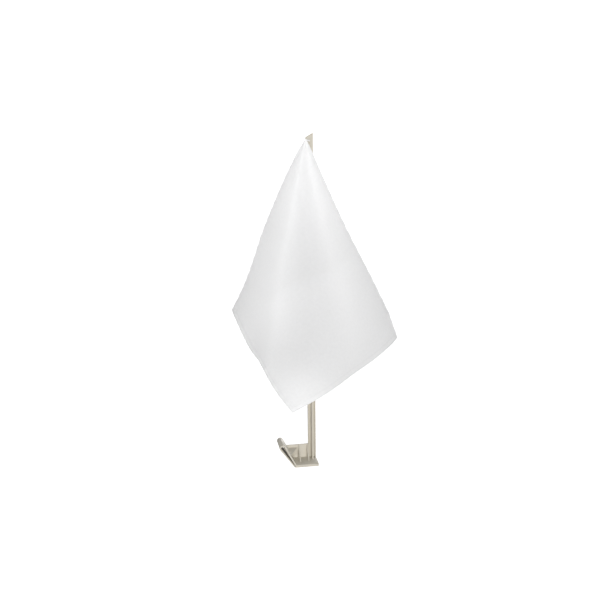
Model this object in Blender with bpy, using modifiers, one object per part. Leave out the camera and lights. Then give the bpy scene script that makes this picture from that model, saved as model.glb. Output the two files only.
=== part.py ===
"""Clip-on window flag.

A moulded staff stands on a small ribbed foot.  Beside the foot a leaning hairpin
clip drops over the top edge of a window pane, and a cloth flag hangs by one
corner from a peg at the staff's tip.

Frame: the origin is where the pane's edge seats, at the crest inside the clip's
arch, halfway along its depth.  +X runs from the clip to the staff, -Y is the side
the flag hangs on, +Z is up the staff.  Metres.
"""

import math

import bmesh
import bpy
from mathutils import Matrix, Vector

# ---------------------------------------------------------------- window clip
CLIP_DEPTH = 0.027          # along the pane's edge
ARCH_INNER_R = 0.0023       # inside radius of the arch over the pane
LEG_T = 0.0020              # outer leg and arch wall
LEG_LEAN = math.radians(27.0)       # outer leg, from the vertical
SPRING_LEAN = math.radians(37.0)    # where the spring leg leaves the arch
SPRING_TIP_T = 0.0010       # spring leg at its free end
FOOT_DROP = 0.0290          # arch centre down to the underside of the plate
PLATE_T = 0.0034
PLATE_LENGTH = 0.0305       # from the outer leg's inner face to the outer end
WALL_T = 0.0022             # web wall along the back of the foot
WALL_HEIGHT = 0.0220        # its top, above the underside
RIB_T = 0.0017
RIB_PLACES = (0.0074, 0.0190)       # rib centres, from the plate's leg end
RIB_REACHES = (0.0170, 0.0146)      # how far each foot stands in front of the wall
GUSSET_T = 0.0016
GUSSET_TOP = 0.0182         # above the underside
GUSSET_REACH = 0.0122       # along the wall, from the outer leg
GUSSET_MARGIN = 0.0010      # kept back from the front edge of the leg

# ---------------------------------------------------------------- grip pad
PAD_T = 0.0010
PAD_LENGTH = 0.0140
PAD_START = 0.0012          # below the arch, along the leg
PAD_MARGIN = 0.0012         # kept back from each end of the clip's depth

# ---------------------------------------------------------------- staff
STAFF_TOP = 0.4400          # above the underside of the plate
STAFF_WIDTH = 0.0103
FLANGE_T = 0.0022
CENTRE_RIB_T = 0.0020
CENTRE_RIB_DEPTH = 0.0087   # in front of the flange, at the foot
CENTRE_RIB_TIP_DEPTH = 0.0016
RIB_PARALLEL = 0.0850       # height over which the centre rib keeps its depth
RIB_END = 0.0320            # the ribs stop this far below the staff's top
LIP_T = 0.0013
LIP_DEPTH = 0.0023
RIB_RUNOUT = 0.0040         # slope at the upper end of each rib
TIP_SLOPE = 0.0058          # the tip is this much lower on its clip side
TIP_ROUND = 0.0028

# ---------------------------------------------------------------- flag peg
PEG_BELOW_TOP = 0.0114
PEG_INSET = 0.0026          # axis, from the staff's clip-side edge
PEG_R = 0.0014
PEG_HEAD_R = 0.0025
PEG_HEAD_T = 0.0013
PEG_BACK_T = 0.0009

# ---------------------------------------------------------------- flag
FLAG_LEFT = 0.5659 * STAFF_TOP      # side that hangs towards the clip
FLAG_RIGHT = 0.6182 * STAFF_TOP     # side that hangs away from it
CLOTH_T = 0.0010
CORNER_ABOVE_PEG = 0.0070   # the corner's place from the peg's axis
CORNER_SIDE = 0.0035        # towards the clip
CORNER_FORWARD = 0.0012     # cloth's middle surface, in front of the peg's head
CLOTH_CLEARANCE = 0.0012    # cloth's middle surface, in front of the centre rib
PATCH_T = 0.0006
PATCH_CLEARANCE = 0.0005    # cloth to patch, in the fold
LOOP_WIDTH = 0.0056
LOOP_T = 0.0010
LOOP_END_R = 0.0034         # rounded end above the peg
LOOP_DROP = 0.0180          # peg axis to the loop's sewn end
GRID_CELLS = 18
GRID_CROWDING = 1.3         # above 1, cells are smaller near the hung corner
PATCH_FIRST = 1             # the patch covers these lines of the cloth's grid
PATCH_LAST = 4

# How the flag hangs.  Straight lines fan out from the hung corner; the first runs
# down the left edge and the last down the right edge, a quarter turn of the flat
# cloth later.  BEND is how fast the fan turns about itself: little along the
# arms, and strongly in the hollow fold between them.
LEFT_EDGE = Vector((-0.657, -0.884, -1.0))
FAN_HEADING = -1.9335
BEND_ARMS = -2.142
BEND_SKEW = 0.411
BEND_FOLD = 8.097
FOLD_PLACE = 0.5367         # 0 at the left edge, 1 at the right
FOLD_SPREAD = 0.16
BEND_ENDS = 19.78
FAN_STEPS = 90
FLAG_TILT = math.radians(0.6)       # the whole flag, forward about its corner

# ---------------------------------------------------------------- shared
GAP = 0.0003                # between pieces that touch
WELD = 0.00001
SINK = 0.0005               # how far joined shapes run into each other

# ---------------------------------------------------------------- worked out
BACK = CLIP_DEPTH / 2
FRONT = -CLIP_DEPTH / 2
ARCH_OUTER_R = ARCH_INNER_R + LEG_T
ARCH_Z = -ARCH_INNER_R
UNDERSIDE = ARCH_Z - FOOT_DROP
PLATE_TOP = UNDERSIDE + PLATE_T
LEG_NORMAL = Vector((math.cos(LEG_LEAN), math.sin(LEG_LEAN)))
LEG_DOWN = Vector((math.sin(LEG_LEAN), -math.cos(LEG_LEAN)))
SPRING_NORMAL = Vector((-math.cos(SPRING_LEAN), -math.sin(SPRING_LEAN)))
ARCH_CENTRE = Vector((0.0, ARCH_Z))


def leg_face_x(offset, z):
    """X at height z of the line that lies offset from the arch centre, along the outer leg."""
    start = ARCH_CENTRE + LEG_NORMAL * offset
    return start.x + (start.y - z) * math.tan(LEG_LEAN)


PLATE_START = leg_face_x(ARCH_INNER_R, UNDERSIDE)
PLATE_END = PLATE_START + PLATE_LENGTH
STAFF_LEFT = PLATE_END - STAFF_WIDTH
STAFF_MIDDLE = PLATE_END - STAFF_WIDTH / 2
STAFF_TIP = UNDERSIDE + STAFF_TOP
FLANGE_FRONT = BACK - FLANGE_T
PEG_X = STAFF_LEFT + PEG_INSET
PEG_Z = STAFF_TIP - PEG_BELOW_TOP
CORNER = Vector((PEG_X - CORNER_SIDE, FLANGE_FRONT - CENTRE_RIB_DEPTH - CLOTH_CLEARANCE,
                 PEG_Z + CORNER_ABOVE_PEG))
PEG_FRONT_Y = CORNER.y + CORNER_FORWARD + GAP
PEG_HEAD_Y = PEG_FRONT_Y + PEG_HEAD_T
HINGE_Z = ARCH_CENTRE.y + ARCH_OUTER_R


# ================================================================ scene helpers
def clear_scene():
    for obj in list(bpy.data.objects):
        bpy.data.objects.remove(obj, do_unlink=True)


def make_collection(name):
    collection = bpy.data.collections.new(name)
    bpy.context.scene.collection.children.link(collection)
    return collection


def make_material(name, colour, roughness):
    material = bpy.data.materials.new(name)
    material.use_nodes = True
    shader = material.node_tree.nodes["Principled BSDF"]
    shader.inputs["Base Color"].default_value = (*colour, 1.0)
    shader.inputs["Roughness"].default_value = roughness
    shader.inputs["Metallic"].default_value = 0.0
    material.diffuse_color = (*colour, 1.0)
    return material


def link_mesh(name, mesh, collection, origin=(0.0, 0.0, 0.0)):
    """Put a mesh that is in world coordinates on an object whose origin is at origin."""
    mesh.transform(Matrix.Translation(-Vector(origin)))
    obj = bpy.data.objects.new(name, mesh)
    obj.location = origin
    collection.objects.link(obj)
    return obj


def arc(centre, radius, start, end, steps):
    """Points on a circle in a plane, angles in radians."""
    points = []
    for i in range(steps + 1):
        angle = start + (end - start) * i / steps
        points.append(centre + radius * Vector((math.cos(angle), math.sin(angle))))
    return points


# Planes that a flat outline is drawn in: outline x, outline y and its thickness.
XZ_PLANE = Matrix(((1, 0, 0, 0), (0, 0, -1, 0), (0, 1, 0, 0), (0, 0, 0, 1)))
YZ_PLANE = Matrix(((0, 0, 1, 0), (1, 0, 0, 0), (0, 1, 0, 0), (0, 0, 0, 1)))
XY_PLANE = Matrix.Identity(4)


def plate_mesh(outline, plane, centre, thickness):
    """A closed mesh of a flat outline, thickness deep, its middle plane at centre."""
    curve = bpy.data.curves.new("outline", "CURVE")
    curve.dimensions = "2D"
    curve.fill_mode = "BOTH"
    curve.extrude = thickness / 2
    spline = curve.splines.new("POLY")
    spline.points.add(len(outline) - 1)
    for point, place in zip(spline.points, outline):
        point.co = (place[0], place[1], 0.0, 1.0)
    spline.use_cyclic_u = True
    guide = bpy.data.objects.new("outline", curve)
    bpy.context.scene.collection.objects.link(guide)
    depsgraph = bpy.context.evaluated_depsgraph_get()
    mesh = bpy.data.meshes.new_from_object(guide.evaluated_get(depsgraph))
    bpy.data.objects.remove(guide, do_unlink=True)
    shape = bmesh.new()
    shape.from_mesh(mesh)
    bmesh.ops.remove_doubles(shape, verts=shape.verts, dist=WELD)
    bmesh.ops.recalc_face_normals(shape, faces=shape.faces)
    shape.to_mesh(mesh)
    shape.free()
    mesh.transform(Matrix.Translation(centre) @ plane)
    return mesh


def add_boolean(target, other, operation):
    modifier = target.modifiers.new(other.name, "BOOLEAN")
    modifier.operation = operation
    modifier.solver = "EXACT"
    modifier.object = other


def join_shapes(target, meshes, cutters):
    """Union the meshes into the target, keeping them as hidden guides."""
    for i, mesh in enumerate(meshes):
        guide = link_mesh(f"{target.name}_joined_{i + 1}", mesh, cutters)
        guide.hide_render = True
        guide.display_type = "WIRE"
        add_boolean(target, guide, "UNION")


def cut_shape(target, mesh, cutters, label):
    guide = link_mesh(f"{target.name}_{label}", mesh, cutters)
    guide.hide_render = True
    guide.display_type = "WIRE"
    add_boolean(target, guide, "DIFFERENCE")


def rod_mesh(radius, start, end, x, z, segments=24):
    """A closed cylinder along Y."""
    shape = bmesh.new()
    bmesh.ops.create_cone(shape, cap_ends=True, segments=segments, radius1=radius, radius2=radius,
                          depth=abs(end - start))
    mesh = bpy.data.meshes.new("rod")
    shape.to_mesh(mesh)
    shape.free()
    turn = Matrix.Rotation(math.radians(90.0), 4, "X")
    mesh.transform(Matrix.Translation((x, (start + end) / 2, z)) @ turn)
    return mesh


def set_round_shading(obj, angle=math.radians(35.0)):
    obj.data.shade_smooth()
    obj.data.set_sharp_from_angle(angle=angle)


# ================================================================ window clip
def build_clip_body(collection, cutters, material):
    """Outer half of the arch, outer leg and plate, with its wall, ribs and gusset."""
    half_gap = GAP / 2
    outer_start = math.pi / 2 - math.asin(half_gap / ARCH_OUTER_R)
    inner_start = math.pi / 2 - math.asin(half_gap / ARCH_INNER_R)
    outline = arc(ARCH_CENTRE, ARCH_OUTER_R, outer_start, LEG_LEAN, 8)
    outline.append(Vector((leg_face_x(ARCH_OUTER_R, PLATE_TOP), PLATE_TOP)))
    outline.append(Vector((PLATE_END, PLATE_TOP)))
    outline.append(Vector((PLATE_END, UNDERSIDE)))
    outline.append(Vector((PLATE_START, UNDERSIDE)))
    outline += arc(ARCH_CENTRE, ARCH_INNER_R, LEG_LEAN, inner_start, 8)
    body = link_mesh("clip_body", plate_mesh(outline, XZ_PLANE, (0, 0, 0), CLIP_DEPTH), collection)

    leg_middle = ARCH_INNER_R + LEG_T / 2
    wall_top = UNDERSIDE + WALL_HEIGHT
    wall_low = PLATE_TOP - SINK
    wall_end = STAFF_LEFT - GAP
    wall = plate_mesh(
        [(leg_face_x(leg_middle, wall_low), wall_low), (wall_end, wall_low),
         (wall_end, wall_top), (leg_face_x(leg_middle, wall_top), wall_top)],
        XZ_PLANE, (0, BACK - WALL_T / 2, 0), WALL_T)
    joined = [wall]

    wall_front = BACK - WALL_T
    for place, reach in zip(RIB_PLACES, RIB_REACHES):
        rib = plate_mesh(
            [(wall_front + SINK, wall_low), (wall_front + SINK, wall_top), (wall_front, wall_top),
             (wall_front - reach, PLATE_TOP), (wall_front - reach, wall_low)],
            YZ_PLANE, (PLATE_START + place, 0, 0), RIB_T)
        joined.append(rib)

    gusset_top = UNDERSIDE + GUSSET_TOP
    leg_x = leg_face_x(leg_middle, gusset_top)
    face_x = leg_face_x(ARCH_OUTER_R, gusset_top)
    gusset = plate_mesh(
        [(leg_x, FRONT + GUSSET_MARGIN), (face_x, FRONT + GUSSET_MARGIN),
         (face_x + GUSSET_REACH, wall_front), (face_x + GUSSET_REACH, wall_front + SINK),
         (leg_x, wall_front + SINK)],
        XY_PLANE, (0, 0, gusset_top - GUSSET_T / 2), GUSSET_T)
    joined.append(gusset)

    join_shapes(body, joined, cutters)
    body.data.materials.append(material)
    return body


def build_spring_leg(collection, material):
    """Inner half of the arch and the leg that springs against the pane."""
    half_gap = GAP / 2
    outer_start = math.pi / 2 + math.asin(half_gap / ARCH_OUTER_R)
    inner_start = math.pi / 2 + math.asin(half_gap / ARCH_INNER_R)
    leave = math.pi + SPRING_LEAN
    # The free end lies along the outer leg's inner face.
    rest_x = leg_face_x(ARCH_INNER_R, UNDERSIDE) - GAP / math.cos(LEG_LEAN)
    tip_inner = Vector((rest_x, UNDERSIDE))
    tip_outer = Vector((rest_x - SPRING_TIP_T / math.cos(LEG_LEAN), UNDERSIDE))
    outer_top = ARCH_CENTRE + SPRING_NORMAL * ARCH_OUTER_R
    inner_top = ARCH_CENTRE + SPRING_NORMAL * ARCH_INNER_R
    # Where the leg, thinning towards its end, first meets the outer leg.
    slope = (tip_outer - outer_top).normalized()
    side = Vector((-slope.y, slope.x))
    if side.x < 0:
        side.negate()
    start = inner_top
    end = tip_outer + side * SPRING_TIP_T
    gap_top = leg_face_x(ARCH_INNER_R, start.y) - GAP / math.cos(LEG_LEAN) - start.x
    gap_end = leg_face_x(ARCH_INNER_R, end.y) - GAP / math.cos(LEG_LEAN) - end.x
    meeting = start.lerp(end, gap_top / (gap_top - gap_end))
    outline = arc(ARCH_CENTRE, ARCH_OUTER_R, outer_start, leave, 12)
    outline += [tip_outer, tip_inner, meeting]
    outline += arc(ARCH_CENTRE, ARCH_INNER_R, leave, inner_start, 12)
    mesh = plate_mesh(outline, XZ_PLANE, (0, 0, 0), CLIP_DEPTH)
    leg = link_mesh("spring_leg", mesh, collection, (0, 0, HINGE_Z))
    leg.data.materials.append(material)
    return leg


def build_grip_pad(collection, material):
    """Soft strip on the outer leg's inner face."""
    near = ARCH_CENTRE + LEG_NORMAL * (ARCH_INNER_R - GAP)
    far = ARCH_CENTRE + LEG_NORMAL * (ARCH_INNER_R - GAP - PAD_T)
    outline = [near + LEG_DOWN * PAD_START, near + LEG_DOWN * (PAD_START + PAD_LENGTH),
               far + LEG_DOWN * (PAD_START + PAD_LENGTH - PAD_T), far + LEG_DOWN * (PAD_START + PAD_T)]
    pad = link_mesh("outer_grip_pad",
                    plate_mesh(outline, XZ_PLANE, (0, 0, 0), CLIP_DEPTH - 2 * PAD_MARGIN), collection)
    pad.data.materials.append(material)
    return pad


# ================================================================ staff
def rib_outline(depth_low, depth_high, foot, parallel_top, top):
    """Side view of a rib on the flange: parallel at first, then thinning, with a sloped end."""
    inside = FLANGE_FRONT + SINK
    return [(inside, foot), (inside, top), (FLANGE_FRONT, top),
            (FLANGE_FRONT - depth_high, top - RIB_RUNOUT),
            (FLANGE_FRONT - depth_low, parallel_top), (FLANGE_FRONT - depth_low, foot)]


def build_staff(collection, cutters, material):
    """Flat flange with a deep rib down its middle and a low lip along each edge."""
    foot = PLATE_TOP + GAP
    low_side = STAFF_TIP - TIP_SLOPE
    rise = TIP_SLOPE / STAFF_WIDTH
    round_centre = Vector((STAFF_LEFT + TIP_ROUND, low_side - TIP_ROUND * (1 - rise)))
    outline = [Vector((STAFF_LEFT, foot)), Vector((PLATE_END, foot)), Vector((PLATE_END, STAFF_TIP))]
    outline += arc(round_centre, TIP_ROUND, math.radians(112.0), math.pi, 6)
    staff = link_mesh(
        "staff", plate_mesh(outline, XZ_PLANE, (0, BACK - FLANGE_T / 2, 0), FLANGE_T), collection)

    rib_top = STAFF_TIP - RIB_END
    parallel_top = UNDERSIDE + RIB_PARALLEL
    centre = plate_mesh(
        rib_outline(CENTRE_RIB_DEPTH, CENTRE_RIB_TIP_DEPTH, foot, parallel_top, rib_top),
        YZ_PLANE, (STAFF_MIDDLE, 0, 0), CENTRE_RIB_T)
    lips = [plate_mesh(
        rib_outline(LIP_DEPTH, LIP_DEPTH, foot, parallel_top, rib_top), YZ_PLANE, (x, 0, 0), LIP_T)
        for x in (STAFF_LEFT + LIP_T / 2, PLATE_END - LIP_T / 2)]
    join_shapes(staff, [centre, *lips], cutters)
    cut_shape(staff, rod_mesh(PEG_R + GAP, BACK + 0.001, FLANGE_FRONT - 0.001, PEG_X, PEG_Z),
              cutters, "peg_hole")
    staff.data.materials.append(material)
    return staff


def build_flag_peg(collection, material):
    """Turned peg through the flange, with a domed head in front and a flat one behind."""
    back_face = BACK + GAP
    profile = [(0.0, back_face + PEG_BACK_T), (PEG_HEAD_R * 0.88, back_face + PEG_BACK_T),
               (PEG_HEAD_R, back_face + PEG_BACK_T * 0.7), (PEG_HEAD_R, back_face),
               (PEG_R, back_face), (PEG_R, PEG_HEAD_Y), (PEG_HEAD_R, PEG_HEAD_Y),
               (PEG_HEAD_R, PEG_HEAD_Y - PEG_HEAD_T * 0.35),
               (PEG_HEAD_R * 0.72, PEG_HEAD_Y - PEG_HEAD_T * 0.82), (0.0, PEG_FRONT_Y)]
    shape = bmesh.new()
    chain = [shape.verts.new((radius, 0.0, y)) for radius, y in profile]
    for first, second in zip(chain, chain[1:]):
        shape.edges.new((first, second))
    mesh = bpy.data.meshes.new("flag_peg")
    shape.to_mesh(mesh)
    shape.free()
    peg = bpy.data.objects.new("flag_peg", mesh)
    # The profile's own Z is the staff's -Y turned up, so the peg is laid along Y.
    peg.matrix_world = Matrix(((1, 0, 0, PEG_X), (0, 0, 1, 0), (0, -1, 0, PEG_Z), (0, 0, 0, 1)))
    collection.objects.link(peg)
    turning = peg.modifiers.new("turning", "SCREW")
    turning.axis = "Z"
    turning.steps = 24
    turning.render_steps = 24
    turning.use_merge_vertices = True
    turning.merge_threshold = WELD
    peg.data.materials.append(material)
    return peg


# ================================================================ flag
def fan_directions():
    """Unit vectors of the straight lines that fan out from the hung corner."""
    direction = LEFT_EDGE.normalized()
    level = Vector((0, 0, 1)).cross(direction).normalized()
    steep = direction.cross(level)
    heading = math.cos(FAN_HEADING) * level + math.sin(FAN_HEADING) * steep
    step = math.pi / 2 / FAN_STEPS
    fan = [direction.copy()]
    for i in range(FAN_STEPS):
        place = (i + 0.5) / FAN_STEPS
        bend = BEND_ARMS + BEND_SKEW * (place - 0.5) + BEND_ENDS * (place - 0.5) ** 2
        bend += BEND_FOLD * math.exp(-((place - FOLD_PLACE) / FOLD_SPREAD) ** 2)
        across = direction.cross(heading)
        direction, heading = (direction + step * heading,
                              heading + step * (bend * across - direction))
        direction.normalize()
        heading = (heading - direction * heading.dot(direction)).normalized()
        fan.append(direction.copy())
    tilt = Matrix.Rotation(-FLAG_TILT, 3, "X")
    return [tilt @ line for line in fan]


def cloth_point(fan, left, right):
    """Place of a point of the cloth, left and right metres along its two hung sides."""
    place = math.atan2(right, left) / (math.pi / 2) * FAN_STEPS
    index = min(int(place), FAN_STEPS - 1)
    direction = fan[index].lerp(fan[index + 1], place - index).normalized()
    return CORNER + direction * math.hypot(left, right)


def cloth_normal(fan, left, right):
    """Unit normal of the cloth on its hollow, front side."""
    small = 0.0005
    across_left = cloth_point(fan, left + small, right) - cloth_point(fan, left - small, right)
    across_right = cloth_point(fan, left, right + small) - cloth_point(fan, left, right - small)
    normal = across_left.cross(across_right).normalized()
    return normal if normal.y < 0 else -normal


def grid_share(line):
    """How far along a side a line of the cloth's grid lies, from 0 to 1."""
    return (line / GRID_CELLS) ** GRID_CROWDING


def sheet_object(name, first, last, place, thickness, collection, origin):
    """A solidified grid between two grid lines, whose points come from place(left, right)."""
    shape = bmesh.new()
    lines = range(first, last + 1)
    rows = [[shape.verts.new(place(grid_share(i) * FLAG_LEFT, grid_share(j) * FLAG_RIGHT))
             for j in lines] for i in lines]
    for i in range(last - first):
        for j in range(last - first):
            shape.faces.new((rows[i][j], rows[i + 1][j], rows[i + 1][j + 1], rows[i][j + 1]))
    mesh = bpy.data.meshes.new(name)
    shape.to_mesh(mesh)
    shape.free()
    sheet = link_mesh(name, mesh, collection, origin)
    solid = sheet.modifiers.new("thickness", "SOLIDIFY")
    solid.thickness = thickness
    solid.offset = 0.0
    return sheet


def build_flag_cloth(fan, collection, material, origin):
    cloth = sheet_object("flag_cloth", 0, GRID_CELLS,
                         lambda left, right: cloth_point(fan, left, right),
                         CLOTH_T, collection, origin)
    cloth.data.materials.append(material)
    set_round_shading(cloth)
    return cloth


def build_corner_patch(fan, collection, material, origin):
    """Square of cloth sewn behind the hung corner."""
    behind = CLOTH_T / 2 + PATCH_CLEARANCE + PATCH_T / 2

    def place(left, right):
        return cloth_point(fan, left, right) - cloth_normal(fan, left, right) * behind

    patch = sheet_object("corner_patch", PATCH_FIRST, PATCH_LAST, place, PATCH_T, collection, origin)
    patch.data.materials.append(material)
    return patch


def build_hanging_loop(fan, collection, cutters, material, origin):
    """Webbing tab over the peg, its lower end sewn behind the patch at the fold."""
    middle = (PEG_HEAD_Y + FLANGE_FRONT) / 2
    rearmost = max(fan, key=lambda line: -line.y / line.z)
    fold = CORNER + rearmost * ((CORNER.z - PEG_Z + LOOP_DROP) / -rearmost.z)
    behind = CLOTH_T / 2 + PATCH_CLEARANCE + PATCH_T + GAP + LOOP_T / 2
    sewn_y = max(fold.y, CORNER.y) + behind
    lean = math.atan2(PEG_X - fold.x, PEG_Z - fold.z)
    half = LOOP_T / 2
    top = LOOP_END_R
    bend_high = -PEG_HEAD_R - 2 * GAP
    bend_low = bend_high - LOOP_T * 2
    side_view = [(middle + half, top), (middle - half, top), (middle - half, bend_high),
                 (sewn_y - half, bend_low), (sewn_y - half, -LOOP_DROP),
                 (sewn_y + half, -LOOP_DROP), (sewn_y + half, bend_low - half),
                 (middle + half, bend_high - half)]
    mesh = plate_mesh(side_view, YZ_PLANE, (0, 0, 0), LOOP_WIDTH)
    mesh.transform(Matrix.Translation((PEG_X, 0, PEG_Z)) @ Matrix.Rotation(lean, 4, "Y"))
    loop = link_mesh("hanging_loop", mesh, collection, origin)
    cut_shape(loop, rod_mesh(PEG_R + GAP, middle - 2 * LOOP_T, middle + 2 * LOOP_T, PEG_X, PEG_Z),
              cutters, "peg_hole")
    loop.data.materials.append(material)
    return loop


# ================================================================ assembly
def main():
    clear_scene()
    collection = make_collection("clip_on_window_flag")
    cutters = make_collection("cutters")
    moulding = make_material("beige moulded plastic", (0.66, 0.62, 0.52), 0.45)
    pad_rubber = make_material("grip pad rubber", (0.30, 0.27, 0.23), 0.8)
    peg_plastic = make_material("peg plastic", (0.62, 0.58, 0.49), 0.4)
    cloth = make_material("white flag cloth", (0.86, 0.86, 0.86), 0.85)
    webbing = make_material("white webbing", (0.80, 0.80, 0.79), 0.9)

    build_clip_body(collection, cutters, moulding)
    build_spring_leg(collection, moulding)
    build_grip_pad(collection, pad_rubber)
    build_staff(collection, cutters, moulding)
    build_flag_peg(collection, peg_plastic)

    fan = fan_directions()
    peg_axis = (PEG_X, 0.0, PEG_Z)
    build_flag_cloth(fan, collection, cloth, peg_axis)
    build_corner_patch(fan, collection, cloth, peg_axis)
    build_hanging_loop(fan, collection, cutters, webbing, peg_axis)


main()
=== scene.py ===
"""Clip-on window flag.

A hairpin clip drops over the top edge of a window pane.  A ribbed foot beside it
carries a moulded staff, and a cloth flag hangs by one corner from a peg at the
staff's tip.  One operator makes each piece around the fixed mechanical frame.

Origin: where the pane's edge seats inside the clip's arch.  +X runs from the clip
to the staff, -Y is the flag's side and +Z is up the staff.  Metres.
"""

import math

import bmesh
import bpy
from bpy.props import FloatProperty, FloatVectorProperty, IntProperty, PointerProperty
from mathutils import Matrix, Vector


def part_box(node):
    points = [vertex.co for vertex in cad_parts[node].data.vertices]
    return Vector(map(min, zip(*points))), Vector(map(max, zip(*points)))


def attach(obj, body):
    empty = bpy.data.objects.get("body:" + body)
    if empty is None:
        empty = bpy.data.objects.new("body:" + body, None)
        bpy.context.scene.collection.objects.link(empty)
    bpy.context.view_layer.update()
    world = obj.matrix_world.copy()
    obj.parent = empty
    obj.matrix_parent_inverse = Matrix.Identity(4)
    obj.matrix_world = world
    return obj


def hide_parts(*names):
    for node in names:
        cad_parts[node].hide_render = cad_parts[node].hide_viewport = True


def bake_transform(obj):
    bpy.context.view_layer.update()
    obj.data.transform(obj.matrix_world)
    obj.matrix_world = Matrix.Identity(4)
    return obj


bl_info = {
    "name": "Clip-on window flag",
    "version": (1, 0, 0),
    "blender": (4, 5, 0),
    "location": "View3D > Sidebar > Window flag",
    "description": "A moulded window clip and staff with a cloth flag hung from one corner",
    "category": "Object",
}

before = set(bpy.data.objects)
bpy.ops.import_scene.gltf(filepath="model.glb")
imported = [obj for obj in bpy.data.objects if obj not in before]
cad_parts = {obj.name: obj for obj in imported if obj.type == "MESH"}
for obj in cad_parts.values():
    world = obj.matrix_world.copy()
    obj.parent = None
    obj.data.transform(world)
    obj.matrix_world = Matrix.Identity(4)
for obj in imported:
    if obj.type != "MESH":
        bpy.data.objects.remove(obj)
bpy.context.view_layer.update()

WELD = 0.000002
FIT = 0.0003                # air the frame leaves between pieces that touch

# ------------------------------------------------------------ places from the frame
clip_low, clip_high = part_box("clip_body")
staff_low, staff_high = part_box("staff")
peg_low, peg_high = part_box("flag_peg")
_, loop_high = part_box("hanging_loop")
pad_low, pad_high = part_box("outer_grip_pad")

FRONT = clip_low.y
BACK = clip_high.y
UNDERSIDE = clip_low.z
PLATE_END = clip_high.x
STAFF_LEFT = staff_low.x
STAFF_MIDDLE = (staff_low.x + staff_high.x) / 2
STAFF_WIDTH = staff_high.x - staff_low.x
STAFF_TIP = staff_high.z
PEG_X = (peg_low.x + peg_high.x) / 2
PEG_Z = (peg_low.z + peg_high.z) / 2
PEG_FRONT = peg_low.y
PEG_BACK = peg_high.y


# ================================================================ settings
def length(name, description, default, low=0.0001, high=1.0):
    return FloatProperty(name=name, description=description, default=default, min=low, max=high,
                         precision=5, unit="LENGTH")


def slope(name, description, degrees):
    return FloatProperty(name=name, description=description, default=math.radians(degrees),
                         unit="ROTATION", subtype="ANGLE")


def colour(name, description, default):
    return FloatVectorProperty(name=name, description=description, default=default, size=3,
                               min=0.0, max=1.0, subtype="COLOR")


def share(name, description, default):
    return FloatProperty(name=name, description=description, default=default, min=0.0, max=4.0)


class FLAG_PG_clip(bpy.types.PropertyGroup):
    """Sizes of the window clip and its ribbed foot"""

    arch_radius: length("Arch radius", "Inside radius of the arch over the pane", 0.0023)
    leg_wall: length("Leg wall", "Thickness of the outer leg and the arch", 0.0020)
    leg_lean: slope("Leg lean", "Lean of the outer leg from upright", 27.0)
    spring_lean: slope("Spring lean", "Where the spring leg leaves the arch", 37.0)
    spring_tip: length("Spring tip", "Thickness of the spring leg's free end", 0.0010)
    plate_wall: length("Plate wall", "Thickness of the base plate", 0.0034)
    web_wall: length("Web wall", "Thickness of the upright wall", 0.0022)
    web_height: length("Web height", "Top of the upright wall above the underside", 0.0220)
    rib_wall: length("Rib wall", "Thickness of each triangular rib", 0.0017)
    rib_first: length("First rib", "First rib's place from the plate's leg end", 0.0074)
    rib_second: length("Second rib", "Second rib's place from the plate's leg end", 0.0190)
    rib_reach_first: length("First reach", "First rib's foot in front of the wall", 0.0170)
    rib_reach_second: length("Second reach", "Second rib's foot in front of the wall", 0.0146)
    gusset_wall: length("Gusset wall", "Thickness of the gusset shelf", 0.0016)
    gusset_top: length("Gusset top", "Gusset's top above the underside", 0.0182)
    gusset_reach: length("Gusset reach", "Gusset's run along the wall", 0.0122)
    edge_round: length("Edge round", "Rounding of the moulded edges", 0.00028)
    arch_steps: IntProperty(name="Arch steps", description="Segments round the arch", default=28,
                            min=8, max=96)


class FLAG_PG_staff(bpy.types.PropertyGroup):
    """Sizes of the staff and the flag peg"""

    flange_wall: length("Flange", "Thickness of the flat flange", 0.0022)
    centre_wall: length("Centre rib", "Thickness of the deep centre rib", 0.0020)
    centre_depth: length("Centre depth", "Centre rib in front of the flange at the foot", 0.0087)
    centre_tip: length("Centre tip", "Centre rib in front of the flange at its top", 0.0016)
    parallel: length("Parallel run", "Height over which the centre rib keeps its depth", 0.0850)
    rib_end: length("Rib end", "The ribs stop this far below the tip", 0.0320)
    lip_wall: length("Lip", "Thickness of each edge lip", 0.0013)
    lip_depth: length("Lip depth", "Edge lips in front of the flange", 0.0023)
    runout: length("Run-out", "Slope at the upper end of each rib", 0.0040)
    tip_slope: length("Tip slope", "Fall of the tip towards the clip", 0.0058)
    tip_round: length("Tip round", "Rounded corner of the tip", 0.0028)
    peg_radius: length("Peg radius", "Shank of the flag peg", 0.0014)
    peg_head: length("Peg head", "Radius of the peg's head", 0.0025)
    edge_round: length("Edge round", "Rounding of the moulded edges", 0.00026)
    pin_radius: length("Pin mark", "Radius of an ejector pin mark on the back", 0.0016)
    pin_depth: length("Pin depth", "Depth of an ejector pin mark", 0.00016)


class FLAG_PG_cloth(bpy.types.PropertyGroup):
    """Sizes of the flag and its sewing"""

    left: length("Left side", "Flat length of the side that hangs towards the clip", 0.2490)
    right: length("Right side", "Flat length of the side that hangs away from it", 0.2720)
    wall: length("Cloth", "Thickness of a single layer", 0.00042)
    hem: length("Hem", "Width of the folded hem", 0.0070)
    hem_wall: length("Hem thickness", "Thickness of the folded hem", 0.00105)
    stitch: length("Stitch", "Length of one stitch", 0.0030)
    thread: length("Thread", "Thickness of the sewing thread", 0.00030)
    pitch: length("Grid", "Spacing of the cloth's lines between the hems", 0.0034)


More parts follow.
